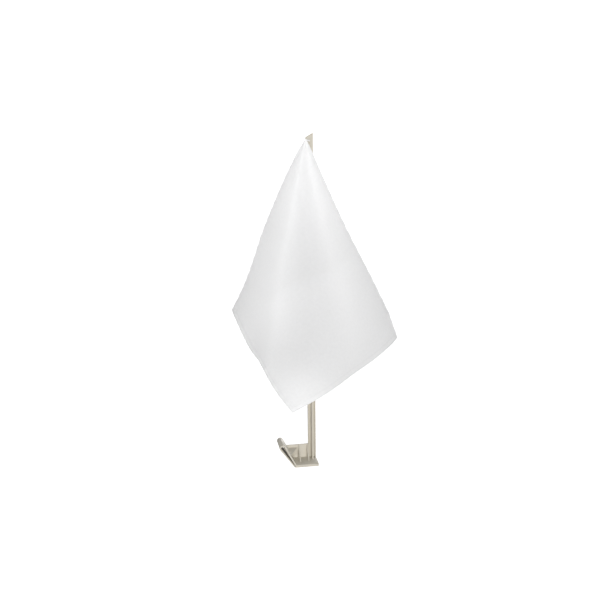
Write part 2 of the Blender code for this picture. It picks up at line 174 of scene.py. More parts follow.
class FLAG_PG_finish(bpy.types.PropertyGroup):
    """Colours of the finishes"""

    moulding: colour("Moulding", "Beige moulded plastic", (0.620, 0.583, 0.498))
    pad: colour("Grip pad", "Soft rubber inside the slot", (0.150, 0.130, 0.100))
    cloth: colour("Cloth", "White flag cloth", (0.875, 0.875, 0.877))
    thread: colour("Thread", "Sewing thread", (0.900, 0.900, 0.900))
    floor: colour("Floor", "Pale studio floor", (0.820, 0.820, 0.820))
    key_power: share("Front light", "Strength of the soft light in front", 1.0)
    sky_power: share("Room light", "Strength of the light from all round", 0.36)


# ================================================================ modelling helpers
def deselect_all():
    if bpy.context.object is not None and bpy.context.object.mode != "OBJECT":
        bpy.ops.object.mode_set(mode="OBJECT")
    bpy.ops.object.select_all(action="DESELECT")


def make_active(obj):
    deselect_all()
    obj.select_set(True)
    bpy.context.view_layer.objects.active = obj


def name_active(name):
    obj = bpy.context.object
    obj.name = name
    obj.data.name = name
    return obj


def settle(obj):
    """Put the object's place into its mesh."""
    make_active(obj)
    bpy.ops.object.transform_apply(location=True, rotation=True, scale=True)
    return obj


def add_block(name, low, high):
    """A box between two corners."""
    deselect_all()
    low = Vector(low)
    high = Vector(high)
    bpy.ops.mesh.primitive_cube_add(size=1.0, location=(low + high) / 2)
    block = name_active(name)
    block.scale = high - low
    return settle(block)


def select_parts(obj, kind, test):
    """In edit mode, select the verts, edges or faces whose middle passes the test."""
    bpy.ops.mesh.select_mode(type=kind)
    bpy.ops.mesh.select_all(action="DESELECT")
    shape = bmesh.from_edit_mesh(obj.data)
    count = 0
    if kind == "VERT":
        for vert in shape.verts:
            vert.select = test(vert.co)
            count += vert.select
    elif kind == "EDGE":
        for edge in shape.edges:
            if test((edge.verts[0].co + edge.verts[1].co) / 2, edge):
                edge.select = True
                count += 1
    else:
        for face in shape.faces:
            if test(face.calc_center_median(), face):
                face.select = True
                count += 1
    shape.select_flush_mode()
    bmesh.update_edit_mesh(obj.data)
    if count == 0:
        raise RuntimeError(f"{obj.name}: nothing passes the test for {kind}")
    return count


def near(value, place, reach=0.00001):
    return abs(value - place) < reach


def move_selected(offset):
    bpy.ops.transform.translate(value=offset, use_proportional_edit=False)


def cut_across(point, normal, remove=False):
    """Bisect the whole mesh in edit mode, closing it again where a side is removed."""
    bpy.ops.mesh.select_all(action="SELECT")
    bpy.ops.mesh.bisect(plane_co=point, plane_no=normal, use_fill=remove, clear_outer=remove,
                        clear_inner=False, threshold=0.0000005)


def apply_modifier(obj, kind, **settings):
    make_active(obj)
    modifier = obj.modifiers.new(kind.title(), kind)
    for key, value in settings.items():
        setattr(modifier, key, value)
    bpy.ops.object.modifier_apply(modifier=modifier.name)


def weld(obj, distance=WELD):
    make_active(obj)
    bpy.ops.object.mode_set(mode="EDIT")
    bpy.ops.mesh.select_all(action="SELECT")
    bpy.ops.mesh.remove_doubles(threshold=distance)
    bpy.ops.mesh.normals_make_consistent(inside=False)
    bpy.ops.object.mode_set(mode="OBJECT")


def smooth_faces(obj, angle=40.0):
    make_active(obj)
    bpy.ops.object.shade_smooth_by_angle(angle=math.radians(angle))


def combine(target, other, operation):
    """Boolean the other shape into the target and remove it."""
    apply_modifier(target, "BOOLEAN", operation=operation, solver="EXACT", object=other)
    bpy.data.objects.remove(other, do_unlink=True)


def add_strip(name, stations, low_y, high_y):
    """A bar drawn out of one end face; each station is its inner and outer line, in X and Z."""
    inner, outer = (Vector((place[0], 0.0, place[1])) for place in stations[0])
    middle_y = Vector((0.0, (low_y + high_y) / 2, 0.0))
    deselect_all()
    bpy.ops.mesh.primitive_plane_add(size=1.0)
    strip = name_active(name)
    along = (outer - inner).normalized()
    across = Vector((0.0, 1.0, 0.0))
    turn = Matrix((along, across, along.cross(across))).transposed().to_4x4()
    size = Matrix.Diagonal(((outer - inner).length, high_y - low_y, 1.0, 1.0))
    strip.matrix_world = Matrix.Translation((inner + outer) / 2 + middle_y) @ turn @ size
    settle(strip)
    bpy.ops.object.mode_set(mode="EDIT")
    bpy.ops.mesh.select_all(action="SELECT")
    for first, second in zip(stations, stations[1:]):
        old_inner, old_outer = (Vector((place[0], 0.0, place[1])) for place in first)
        new_inner, new_outer = (Vector((place[0], 0.0, place[1])) for place in second)
        shift = new_inner - old_inner
        bpy.ops.mesh.extrude_region_move(TRANSFORM_OT_translate={"value": shift})
        moved_outer = old_outer + shift
        shape = bmesh.from_edit_mesh(strip.data)
        end = [vert for vert in shape.verts if vert.select]
        for vert in end:
            flat = Vector((vert.co.x, 0.0, vert.co.z))
            vert.select = (flat - moved_outer).length < (flat - new_inner).length
        shape.select_flush(False)
        bmesh.update_edit_mesh(strip.data)
        move_selected(new_outer - moved_outer)
        shape = bmesh.from_edit_mesh(strip.data)
        for vert in shape.verts:
            flat = Vector((vert.co.x, 0.0, vert.co.z))
            vert.select = min((flat - new_inner).length, (flat - new_outer).length) < 0.000005
        bpy.ops.mesh.select_mode(type="VERT")
        shape.select_flush(True)
        bmesh.update_edit_mesh(strip.data)
    bpy.ops.object.mode_set(mode="OBJECT")
    weld(strip)
    return strip


def add_turned(name, stations, x, z, segments=40):
    """A turned piece along Y; each station is a radius and a place in Y."""
    radius, y = stations[0]
    deselect_all()
    bpy.ops.mesh.primitive_circle_add(vertices=segments, radius=radius, fill_type="NGON",
                                      location=(x, y, z), rotation=(math.pi / 2, 0.0, 0.0))
    turned = settle(name_active(name))
    bpy.ops.object.mode_set(mode="EDIT")
    bpy.ops.mesh.select_all(action="SELECT")
    for old, new in zip(stations, stations[1:]):
        bpy.ops.mesh.extrude_region_move(TRANSFORM_OT_translate={"value": (0.0, new[1] - old[1], 0.0)})
        ratio = new[0] / old[0]
        if abs(ratio - 1.0) > 0.0001:
            bpy.ops.transform.resize(value=(ratio, 1.0, ratio), center_override=(x, new[1], z))
    bpy.ops.object.mode_set(mode="OBJECT")
    weld(turned)
    return turned


def finish_piece(obj, material, body=None, nodes=()):
    """Give the piece its material, its slot, its body and the frame's nodes it stands for."""
    obj.data.materials.clear()
    obj.data.materials.append(material)
    if body:
        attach(obj, body)
    if nodes:
        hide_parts(*nodes)
    deselect_all()
    return obj


# ================================================================ finishes
class Signal:
    """A shader socket; maths on it adds the Math nodes."""

    def __init__(self, finish, socket):
        self.finish = finish
        self.socket = socket

    def math(self, operation, *others):
        values = dict(enumerate((self, *others)))
        return self.finish.node("ShaderNodeMath", {"operation": operation}, values)

    def __add__(self, other):
        return self.math("ADD", other)

    __radd__ = __add__

    def __mul__(self, other):
        return self.math("MULTIPLY", other)

    __rmul__ = __mul__

    def __sub__(self, other):
        return self.math("SUBTRACT", other)

    def __rsub__(self, other):
        return (self * -1.0).math("ADD", other)

    def lowest(self, other):
        return self.math("MINIMUM", other)

    def ramp(self, low, high, start=0.0, end=1.0):
        """Smoothly from start to end as the signal goes from low to high."""
        return self.finish.node("ShaderNodeMapRange", {"interpolation_type": "SMOOTHSTEP"},
                                {0: self, 1: low, 2: high, 3: start, 4: end})


class Finish:
    """A material built from expressions on its own coordinates."""

    def __init__(self, name):
        self.material = bpy.data.materials.new(name)
        self.material.use_nodes = True
        self.tree = self.material.node_tree
        self.shader = self.tree.nodes["Principled BSDF"]
        self.texture_coordinates = self.tree.nodes.new("ShaderNodeTexCoord")
        self.place = Signal(self, self.texture_coordinates.outputs["Object"])
        self.flat = Signal(self, self.texture_coordinates.outputs["UV"])

    def node(self, kind, settings, inputs, output=0):
        """Any node: its type, its settings, then the values or links of its sockets."""
        made = self.tree.nodes.new(kind)
        for key, value in settings.items():
            setattr(made, key, value)
        for key, value in inputs.items():
            if isinstance(value, Signal):
                self.tree.links.new(value.socket, made.inputs[key])
            else:
                made.inputs[key].default_value = value
        return Signal(self, made.outputs[output])

    def stretched(self, scale):
        return self.node("ShaderNodeMapping", {"vector_type": "POINT"},
                         {"Vector": self.place, "Scale": scale})

    def noise(self, scale, detail=3.0, where=None):
        return self.node("ShaderNodeTexNoise", {"noise_dimensions": "3D"},
                         {"Vector": where or self.place, "Scale": scale, "Detail": detail})

    def axes(self, where):
        """The three numbers of a vector."""
        split = self.node("ShaderNodeSeparateXYZ", {}, {0: where}).socket.node
        return [Signal(self, split.outputs[i]) for i in range(3)]

    def blend(self, factor, first, second):
        """From the first colour to the second as the factor rises."""
        mixed = {0: factor}
        for key, value in ((6, first), (7, second)):
            mixed[key] = value if isinstance(value, Signal) else (*value, 1.0)
        return self.node("ShaderNodeMix", {"data_type": "RGBA"}, mixed, output=2)

    def edges(self):
        """How far a place stands out, from the mesh: high on edges, low in corners."""
        return self.node("ShaderNodeNewGeometry", {}, {}, output="Pointiness")

    def raise_surface(self, height, distance, strength=1.0, under=None):
        inputs = {"Height": height, "Distance": distance, "Strength": strength}
        if under:
            inputs["Normal"] = under
        return self.node("ShaderNodeBump", {}, inputs)

    def use(self, **sockets):
        """Feed or set the shader's sockets, whose names have a blank for each underscore."""
        for key, value in sockets.items():
            socket = self.shader.inputs[key.replace("_", " ")]
            if isinstance(value, Signal):
                self.tree.links.new(value.socket, socket)
            else:
                socket.default_value = value
        return self.material


def tinted(base, factor):
    return tuple(min(1.0, part * factor) for part in base)


def moulded_plastic(name, base, grain=1.0):
    """Matt beige moulding: fine spark-eroded grain, flow streaks, handled edges, and painted shade darkening
    the concave corners, where the roughness also rises as for dust.
    """
    plastic = Finish(name)
    cloudy = plastic.noise(70.0, detail=4.0).ramp(0.34, 0.68)
    streaks = plastic.noise(1.0, detail=3.0, where=plastic.stretched((420.0, 420.0, 16.0)))
    shade = plastic.blend(cloudy, tinted(base, 0.955), tinted(base, 1.02))
    warm = (base[0], base[1] * 0.975, base[2] * 0.93)
    shade = plastic.blend(streaks.ramp(0.35, 0.75) * 0.35, shade, warm)
    edge = plastic.edges()
    rubbed = edge.ramp(0.54, 0.66) * plastic.noise(900.0, detail=2.0).ramp(0.3, 0.7)
    shade = plastic.blend(rubbed * 0.35, shade, tinted(base, 1.16))
    # Painted shade: the concave corners, found from the mesh, are darkened towards a warm brown; the same
    # mask raises the roughness there as dust would.
    dusty = edge.ramp(0.49, 0.40) * plastic.noise(380.0, detail=4.0).ramp(0.25, 0.75)
    shade = plastic.blend(dusty * 0.55, shade, (base[0] * 0.50, base[1] * 0.46, base[2] * 0.38))
    specks = plastic.noise(1500.0, detail=1.0).ramp(0.73, 0.80)
    shade = plastic.blend(specks * 0.25, shade, tinted(base, 0.6))
    rough = 0.47 + cloudy * 0.08 + dusty * 0.14 - rubbed * 0.12 + streaks.ramp(0.4, 0.7) * 0.05
    fine = plastic.noise(3400.0, detail=2.0)
    coarse = plastic.noise(240.0, detail=2.0)
    relief = plastic.raise_surface(coarse, 0.00006, 0.5)
    relief = plastic.raise_surface(fine, 0.00002 * grain, 0.8, under=relief)
    plastic.shader.inputs["IOR"].default_value = 1.49
    plastic.shader.inputs["Specular IOR Level"].default_value = 0.42
    return plastic.use(Base_Color=shade, Roughness=rough, Normal=relief)


def pad_rubber(name, base):
    """Dark soft rubber with dust on its high places."""
    rubber = Finish(name)
    dusty = rubber.noise(800.0, detail=4.0).ramp(0.42, 0.70)
    worn = rubber.edges().ramp(0.52, 0.62)
    shade = rubber.blend(dusty * 0.45, base, tinted(base, 1.9))
    shade = rubber.blend(worn * 0.4, shade, tinted(base, 1.5))
    relief = rubber.raise_surface(rubber.noise(5200.0, detail=1.0), 0.00002, 0.8)
    return rubber.use(Base_Color=shade, Roughness=0.78 + dusty * 0.15, Normal=relief)


def woven_cloth(name, base, cloth):
    """Plain-woven polyester: the pattern follows the flat cloth, in metres."""
    woven = Finish(name)
    across, along, _ = woven.axes(woven.flat)
    thread_pitch = 0.00052
    turns = 2.0 * math.pi / thread_pitch
    warp = (across * turns).math("SINE")
    weft = (along * turns).math("SINE")
    over = (warp * weft) * 0.5 + 0.5
    ribs = (warp.math("ABSOLUTE") + weft.math("ABSOLUTE")) * 0.5
    uneven = woven.noise(260.0, detail=2.0, where=woven.flat)
    slubs = woven.noise(1.0, detail=2.0, where=woven.node(
        "ShaderNodeMapping", {"vector_type": "POINT"}, {"Vector": woven.flat, "Scale": (60.0, 1500.0, 1.0)}))
    from_side = across.lowest(cloth.left - across).lowest(along.lowest(cloth.right - along))
    # Painted shade: the hem band, a strip along the hem's inner fold and a thin line at the cut edge are
    # darkened below, for the shade of the thicker hem and of the cloth's edge.
    hem_shade_band = from_side.ramp(cloth.hem + 0.0006, cloth.hem - 0.0006)
    seam = hem_shade_band * from_side.ramp(cloth.hem - 0.0022, cloth.hem - 0.0010)
    cut_edge_shade = from_side.ramp(0.0009, 0.0002)
    shade = woven.blend(over * 0.5 + uneven.ramp(0.3, 0.7) * 0.5, tinted(base, 0.965), tinted(base, 1.01))
    shade = woven.blend(slubs.ramp(0.60, 0.78) * 0.25, shade, tinted(base, 0.93))
    shade = woven.blend(hem_shade_band * 0.30, shade, tinted(base, 0.955))
    shade = woven.blend(seam * 0.25 + cut_edge_shade * 0.35, shade, tinted(base, 0.90))
    soft = woven.raise_surface(woven.noise(42.0, detail=3.0, where=woven.flat), 0.0007, 0.35)
    relief = woven.raise_surface(over * 0.6 + ribs * 0.4, 0.00005, 0.55, under=soft)
    woven.shader.inputs["Sheen Weight"].default_value = 0.12
    woven.shader.inputs["Sheen Roughness"].default_value = 0.45
    woven.shader.inputs["Specular IOR Level"].default_value = 0.25
    return woven.use(Base_Color=shade, Roughness=0.82 + uneven * 0.08, Normal=relief)


def ribbed_webbing(name, base):
    """Narrow tape with ribs across it, on its own flat map."""
    tape = Finish(name)
    across, along, _ = tape.axes(tape.flat)
    ribs = (along * (2.0 * math.pi / 0.0009)).math("SINE") * 0.5 + 0.5
    strands = (across * (2.0 * math.pi / 0.0006)).math("SINE") * 0.5 + 0.5
    uneven = tape.noise(900.0, detail=2.0)
    shade = tape.blend(ribs * 0.5 + uneven * 0.5, tinted(base, 0.90), tinted(base, 1.02))
    relief = tape.raise_surface(ribs * 0.7 + strands * 0.3, 0.00012, 0.8)
    tape.shader.inputs["Sheen Weight"].default_value = 0.2
    return tape.use(Base_Color=shade, Roughness=0.80 + uneven * 0.1, Normal=relief)


def twisted_thread(name, base):
    """Sewing thread, whose twist follows its own flat map."""
    thread = Finish(name)
    around, along, _ = thread.axes(thread.flat)
    twist = ((along * 5.0 + around) * (2.0 * math.pi)).math("SINE") * 0.5 + 0.5
    shade = thread.blend(twist, tinted(base, 0.84), base)
    relief = thread.raise_surface(twist, 0.00004, 0.7)
    return thread.use(Base_Color=shade, Roughness=0.62 + twist * 0.1, Normal=relief)


def studio_floor(name, base):
    """Plain pale floor that glows evenly, so no horizon shows."""
    floor = Finish(name)
    mottled = floor.noise(3.0, detail=2.0).ramp(0.3, 0.7)
    shade = floor.blend(mottled, tinted(base, 0.99), base)
    floor.shader.inputs["Emission Color"].default_value = (1.0, 1.0, 1.0, 1.0)
    floor.shader.inputs["Emission Strength"].default_value = 0.85
    floor.shader.inputs["Specular IOR Level"].default_value = 0.1
    return floor.use(Base_Color=shade, Roughness=0.9)


# ================================================================ clip and foot
class ClipLines:
    """The clip's own lines, worked out from its sizes."""

    def __init__(self, clip):
        self.clip = clip
        self.outer_radius = clip.arch_radius + clip.leg_wall
        self.centre = Vector((0.0, -clip.arch_radius))
        self.plate_top = UNDERSIDE + clip.plate_wall
        self.wall_front = BACK - clip.web_wall
        self.wall_top = UNDERSIDE + clip.web_height
        self.plate_start = self.leg_x(clip.arch_radius, UNDERSIDE)

    def around(self, angle):
        """Inner and outer point of the arch at an angle from +X."""
        way = Vector((math.cos(angle), math.sin(angle)))
        return self.centre + way * self.clip.arch_radius, self.centre + way * self.outer_radius

    def leg_x(self, offset, z):
        """X at height z of the line that lies offset from the arch's centre, along the outer leg."""
        lean = self.clip.leg_lean
        start = self.centre + Vector((math.cos(lean), math.sin(lean))) * offset
        return start.x + (start.y - z) * math.tan(lean)


def round_moulding(obj, width, skip=None, segments=2, angle=25.0):
    """Bevel the sharp edges of a moulding, but not those that the skip test keeps."""
    make_active(obj)
    shape = bmesh.new()
    shape.from_mesh(obj.data)
    weight = shape.edges.layers.float.new("bevel_weight_edge")
    for edge in shape.edges:
        if len(edge.link_faces) == 2 and edge.calc_face_angle(0.0) > math.radians(angle):
            ends = [vert.co for vert in edge.verts]
            if skip is None or not skip(*ends):
                edge[weight] = 1.0
    shape.to_mesh(obj.data)
    shape.free()
    apply_modifier(obj, "BEVEL", width=width, segments=segments, limit_method="WEIGHT",
                   use_clamp_overlap=True, loop_slide=True)
    smooth_faces(obj)


def on_line(point, start, end, reach=0.00002):
    """True where a point, seen along Y, lies on the line through start and end."""
    way = (end - start).normalized()
    offset = Vector((point.x, point.z)) - start
    return abs(offset.x * way.y - offset.y * way.x) < reach and offset.length < 0.006


def build_clip_foot(clip):
    """Base plate and outer leg, with the upright wall, two ribs and the gusset run into them."""
    lines = ClipLines(clip)
    leg_top = lines.around(clip.leg_lean)
    stations = [((PLATE_END, UNDERSIDE), (PLATE_END, lines.plate_top)),
                ((lines.plate_start, UNDERSIDE),
                 (lines.leg_x(lines.outer_radius, lines.plate_top), lines.plate_top)),
                leg_top]
    foot = add_strip("clip_foot", stations, FRONT, BACK)

    sink = 0.0005
    low = lines.plate_top - sink
    middle = clip.arch_radius + clip.leg_wall / 2
    wall = add_block("web_wall", (lines.leg_x(middle, low), lines.wall_front, low),
                     (STAFF_LEFT + 0.00006, BACK - 0.00005, lines.wall_top))
    bpy.ops.object.mode_set(mode="EDIT")
    left = lines.leg_x(middle, low)
    select_parts(wall, "VERT", lambda co: near(co.x, left) and near(co.z, lines.wall_top))
    move_selected((lines.leg_x(middle, lines.wall_top) - left, 0.0, 0.0))
    bpy.ops.object.mode_set(mode="OBJECT")
    combine(foot, wall, "UNION")

    ribs = ((clip.rib_first, clip.rib_reach_first), (clip.rib_second, clip.rib_reach_second))
    for place, reach in ribs:
        x = lines.plate_start + place
        front = lines.wall_front - reach
        rib = add_block("web_rib", (x - clip.rib_wall / 2, front, low),
                        (x + clip.rib_wall / 2, lines.wall_front + sink, lines.wall_top - 0.0004))
        bpy.ops.object.mode_set(mode="EDIT")
        select_parts(rib, "VERT", lambda co: near(co.y, front) and co.z > low + sink)
        move_selected((0.0, reach - 0.0006, 0.0))
        bpy.ops.object.mode_set(mode="OBJECT")
        combine(foot, rib, "UNION")

    shelf_top = UNDERSIDE + clip.gusset_top
    shelf_front = FRONT + 0.001
    leg_x = lines.leg_x(middle, shelf_top)
    face_x = lines.leg_x(lines.outer_radius, shelf_top)
    shelf = add_block("gusset", (leg_x, shelf_front, shelf_top - clip.gusset_wall),
                      (face_x + clip.gusset_reach, lines.wall_front + sink, shelf_top))
    bpy.ops.object.mode_set(mode="EDIT")
    select_parts(shelf, "VERT", lambda co: near(co.y, shelf_front) and co.x > face_x)
    move_selected((0.0004 - clip.gusset_reach, 0.0, 0.0))
    bpy.ops.object.mode_set(mode="OBJECT")
    combine(foot, shelf, "UNION")
    weld(foot)
    round_moulding(foot, clip.edge_round, skip=lambda a, b: on_line(a, *leg_top) and on_line(b, *leg_top))
    return foot


def build_clip_arch(clip):
    """The bend over the pane's edge, from the outer leg round to the spring leg."""
    lines = ClipLines(clip)
    start = clip.leg_lean
    turn = math.pi + clip.spring_lean - start
    stations = [lines.around(start + turn * i / clip.arch_steps) for i in range(clip.arch_steps + 1)]
    arch = add_strip("clip_arch", stations, FRONT, BACK)
    ends = (stations[0], stations[-1])
    round_moulding(arch, clip.edge_round,
                   skip=lambda a, b: any(on_line(a, *end) and on_line(b, *end) for end in ends))
    return arch


def build_spring_leg(clip):
    """The thinning leg that springs against the pane, with its free end rounded."""
    lines = ClipLines(clip)
    top_inner, top_outer = lines.around(math.pi + clip.spring_lean)
    lean = math.cos(clip.leg_lean)
    rest = lines.leg_x(clip.arch_radius, UNDERSIDE) - FIT / lean
    tip_inner = Vector((rest, UNDERSIDE))
    tip_outer = Vector((rest - clip.spring_tip / lean, UNDERSIDE))
    slant = (tip_outer - top_outer).normalized()
    side = Vector((-slant.y, slant.x)) if slant.y < 0 else Vector((slant.y, -slant.x))
    if side.x < 0:
        side.negate()
    thin = tip_outer + side * clip.spring_tip
    gap_top = lines.leg_x(clip.arch_radius, top_inner.y) - FIT / lean - top_inner.x
    gap_end = lines.leg_x(clip.arch_radius, thin.y) - FIT / lean - thin.x
    meet = gap_top / (gap_top - gap_end)
    stations = [(top_inner, top_outer)]
    steps = 10
    for i in range(1, steps + 1):
        share_down = meet * i / steps
        stations.append((top_inner.lerp(thin, share_down), top_outer.lerp(tip_outer, share_down)))
    meeting = stations[-1][0]
    outer_meet = stations[-1][1]
    for i in range(1, 4):
        stations.append((meeting.lerp(tip_inner, i / 3), outer_meet.lerp(tip_outer, i / 3)))
    leg = add_strip("spring_clip_leg", stations, FRONT, BACK)
    top = stations[0]
    round_moulding(leg, clip.edge_round, skip=lambda a, b: on_line(a, *top) and on_line(b, *top))
    return leg


def build_grip_pad(clip):
    """Rubber strip on the outer leg's slot side, with ridges along the pane's edge."""
    lines = ClipLines(clip)
    lean = clip.leg_lean
    normal = Vector((math.cos(lean), math.sin(lean)))
    down = Vector((math.sin(lean), -math.cos(lean)))
    base = lines.centre + normal * (clip.arch_radius + 0.00002)
    start = 0.0012
    run = 0.0140
    low_wall = 0.00085
    high_wall = 0.00128
    ridges = 9
    pitch = run / ridges
    stations = [(base + down * (start - 0.00005), base + down * (start - 0.00004) - normal * 0.0004)]
    for i in range(ridges):
        for part, wall in ((0.04, low_wall), (0.30, high_wall), (0.66, high_wall), (0.92, low_wall)):
            place = base + down * (start + pitch * (i + part))
            stations.append((place, place - normal * wall))
    end = base + down * (start + run)
    stations.append((end, end - normal * 0.0004))
    pad = add_strip("ridged_grip_pad", stations, pad_low.y, pad_high.y)
    round_moulding(pad, 0.0001, segments=1, angle=35.0)
    return pad


# ================================================================ staff
def build_staff(staff, plate_top):
    """Flat flange with a deep centre rib and two edge lips, drawn forward out of it."""
    foot = plate_top - 0.0004
    flange_front = BACK - staff.flange_wall
    rib_top = STAFF_TIP - staff.rib_end
    parallel_top = UNDERSIDE + staff.parallel
    runout_low = rib_top - staff.runout
    bar = add_block("staff_moulding", (STAFF_LEFT, flange_front, foot), (PLATE_END, BACK, STAFF_TIP))
    half_rib = staff.centre_wall / 2
    columns = (STAFF_LEFT + staff.lip_wall, STAFF_MIDDLE - half_rib, STAFF_MIDDLE + half_rib,
               PLATE_END - staff.lip_wall)
    bpy.ops.object.mode_set(mode="EDIT")
    for x in columns:
        cut_across((x, 0.0, 0.0), (1.0, 0.0, 0.0))
    for z in (parallel_top, runout_low, rib_top):
        cut_across((0.0, 0.0, z), (0.0, 0.0, 1.0))
    for x, wall, low_depth, high_depth in (
            (STAFF_MIDDLE, staff.centre_wall, staff.centre_depth, staff.centre_tip),
            (STAFF_LEFT + staff.lip_wall / 2, staff.lip_wall, staff.lip_depth, staff.lip_depth),
            (PLATE_END - staff.lip_wall / 2, staff.lip_wall, staff.lip_depth, staff.lip_depth)):
        select_parts(bar, "FACE", lambda co, face: near(co.y, flange_front) and near(co.x, x, wall / 2)
                     and co.z < rib_top and face.normal.y < -0.9)
        bpy.ops.mesh.extrude_region_move(TRANSFORM_OT_translate={"value": (0.0, -low_depth, 0.0)})
        drawn = flange_front - low_depth
        select_parts(bar, "VERT", lambda co: near(co.y, drawn) and near(co.x, x, wall)
                     and near(co.z, runout_low, 0.00003))
        move_selected((0.0, low_depth - high_depth, 0.0))
        select_parts(bar, "VERT", lambda co: near(co.y, drawn) and near(co.x, x, wall)
                     and near(co.z, rib_top, 0.00003))
        move_selected((0.0, low_depth, 0.0))
    bpy.ops.mesh.select_all(action="SELECT")
    bpy.ops.mesh.remove_doubles(threshold=WELD)
    fall = Vector((-staff.tip_slope, 0.0, STAFF_WIDTH)).normalized()
    cut_across((PLATE_END, 0.0, STAFF_TIP), fall, remove=True)
    tip_low = STAFF_TIP - staff.tip_slope
    select_parts(bar, "EDGE", lambda co, edge: near(co.x, STAFF_LEFT) and near(co.z, tip_low, 0.0002)
                 and abs(edge.verts[0].co.y - edge.verts[1].co.y) > 0.001)
    bpy.ops.mesh.bevel(offset=staff.tip_round * 0.8, segments=5, affect="EDGES")
    bpy.ops.object.mode_set(mode="OBJECT")
    weld(bar)

    hole = add_turned("peg_hole", [(staff.peg_radius + FIT, flange_front - 0.001),
                                   (staff.peg_radius + FIT, BACK + 0.001)], PEG_X, PEG_Z, 32)
    combine(bar, hole, "DIFFERENCE")
    marks = 5
    mark_places = [UNDERSIDE + 0.030 + (STAFF_TIP - UNDERSIDE - 0.075) * i / (marks - 1)
                   for i in range(marks)]
    for z in mark_places:
        pin = add_turned("pin_mark", [(staff.pin_radius, BACK - staff.pin_depth),
                                      (staff.pin_radius, BACK + 0.001)], STAFF_MIDDLE, z, 32)
        combine(bar, pin, "DIFFERENCE")
    weld(bar)

    def round_mark(first, second):
        """Edges of the small round marks and of the peg's hole stay crisp."""
        middle = (first + second) / 2
        if near(middle.y, BACK, staff.pin_depth * 1.1) and abs(middle.x - STAFF_MIDDLE) < 0.002:
            return any(abs(middle.z - z) < 0.002 for z in mark_places)
        return (Vector((middle.x - PEG_X, middle.z - PEG_Z))).length < staff.peg_radius * 1.5

    round_moulding(bar, staff.edge_round, skip=round_mark)
    return bar


def build_peg(staff):
    """Turned peg with a domed head that the loop can't slip over, and a flat head behind."""
    head = staff.peg_head
    shank = staff.peg_radius
    deep = 0.0013
    behind = PEG_BACK
    stations = [(head * 0.55, behind), (head * 0.86, behind - 0.00006), (head * 0.97, behind - 0.0002),
                (head, behind - 0.0004), (head, behind - 0.00085), (head * 0.94, behind - 0.0009),
                (shank, behind - 0.0009), (shank * 0.99, PEG_FRONT + deep + 0.0006),
                (shank * 1.05, PEG_FRONT + deep + 0.0002), (shank * 1.35, PEG_FRONT + deep),
                (head * 0.93, PEG_FRONT + deep), (head, PEG_FRONT + deep - 0.00015)]
    dome = 8
    for i in range(1, dome):
        rise = math.pi / 2 * i / dome
        stations.append((head * math.cos(rise * 0.92) ** 0.8,
                         PEG_FRONT + (deep - 0.00015) * (1 - math.sin(rise))))
    peg = add_turned("mushroom_peg", stations, PEG_X, PEG_Z, 48)
    smooth_faces(peg, 32.0)
    return peg


# ================================================================ flag
# How the flag hangs.  Straight lines fan out from the hung corner; the first runs
# down the left edge and the last down the right edge, a quarter turn of the flat
# cloth later.  The bend is how fast the fan turns about itself: little along the
# arms, and strongly in the hollow fold between them.
HUNG_CORNER = Vector((PEG_X - 0.0035, 0.0014, PEG_Z + 0.0070))
LEFT_EDGE = Vector((-0.657, -0.884, -1.0))
FAN_HEADING = -1.9335
BEND_ARMS = -2.142
BEND_SKEW = 0.411
BEND_FOLD = 8.097
FOLD_PLACE = 0.5367
FOLD_SPREAD = 0.16
BEND_ENDS = 19.78
FAN_STEPS = 90
FLAG_TILT = math.radians(0.6)

# What weight and wind have done to the straight fan: each free corner's sag, and
# each edge's bow as half waves, sideways across the flag or upwards, in metres.
SIDEWAYS = Vector((0.9874, -0.1581, 0.0))
UPWARDS = Vector((0.0, 0.0, 1.0))
HUNG_SAG = (-0.00015, -0.00054)
LEFT_SAG = (-0.00149, -0.00163)
LOW_SAG = (-0.00756, 0.00622)
RIGHT_SAG = (-0.00096, -0.00209)
LEFT_BOW = (-0.00304, -0.00282, 0.00116, -0.00058)
RIGHT_BOW = (0.00068, -0.00190, 0.00099, 0.00006)
LOW_LEFT_BOW = (0.00892, -0.00468, 0.00176, 0.00320)
LOW_RIGHT_BOW = (-0.00684, 0.00259, -0.00170, 0.00088)

# Two soft folds across the cloth: a long one below its middle, and a short one that
# turns the right corner.
FOLD_LEFT = 0.205
FOLD_RIGHT = 0.152
FOLD_POWER = 3.0
FOLD_HEIGHT = 0.0056
FOLD_ABOVE = 0.100
FOLD_BELOW = 0.048
FOLD_SOFTNESS = 0.0018
FOLD_SIDES = (-0.010, 0.075)     # the fold rises from its calm at the sides over this run
TURN_START = 0.241
TURN_SLANT = 0.28
TURN_HEIGHT = 0.0016
TURN_RUN = 0.016
PUCKER_HEIGHT = 0.00022
RIPPLE_HEIGHT = 0.0006
HEM_STEP = 0.00016               # how far the hem stands in front of the single cloth
SEAM_INSET = 0.0014              # from the hem's inner fold to its stitches
SEAM_DIP = 0.00010
SEAM_SPREAD = 0.00035


def fan_directions():
    """Unit vectors of the straight lines that fan out from the hung corner."""
    direction = LEFT_EDGE.normalized()
    level = Vector((0, 0, 1)).cross(direction).normalized()
    steep = direction.cross(level)
    heading = math.cos(FAN_HEADING) * level + math.sin(FAN_HEADING) * steep
    step = math.pi / 2 / FAN_STEPS
    fan = [direction.copy()]
    for i in range(FAN_STEPS):
        place = (i + 0.5) / FAN_STEPS
        bend = BEND_ARMS + BEND_SKEW * (place - 0.5) + BEND_ENDS * (place - 0.5) ** 2
        bend += BEND_FOLD * math.exp(-((place - FOLD_PLACE) / FOLD_SPREAD) ** 2)
        across = direction.cross(heading)
        direction, heading = (direction + step * heading,
                              heading + step * (bend * across - direction))
        direction.normalize()
        heading = (heading - direction * heading.dot(direction)).normalized()
        fan.append(direction.copy())
    tilt = Matrix.Rotation(-FLAG_TILT, 3, "X")
    return [tilt @ line for line in fan]


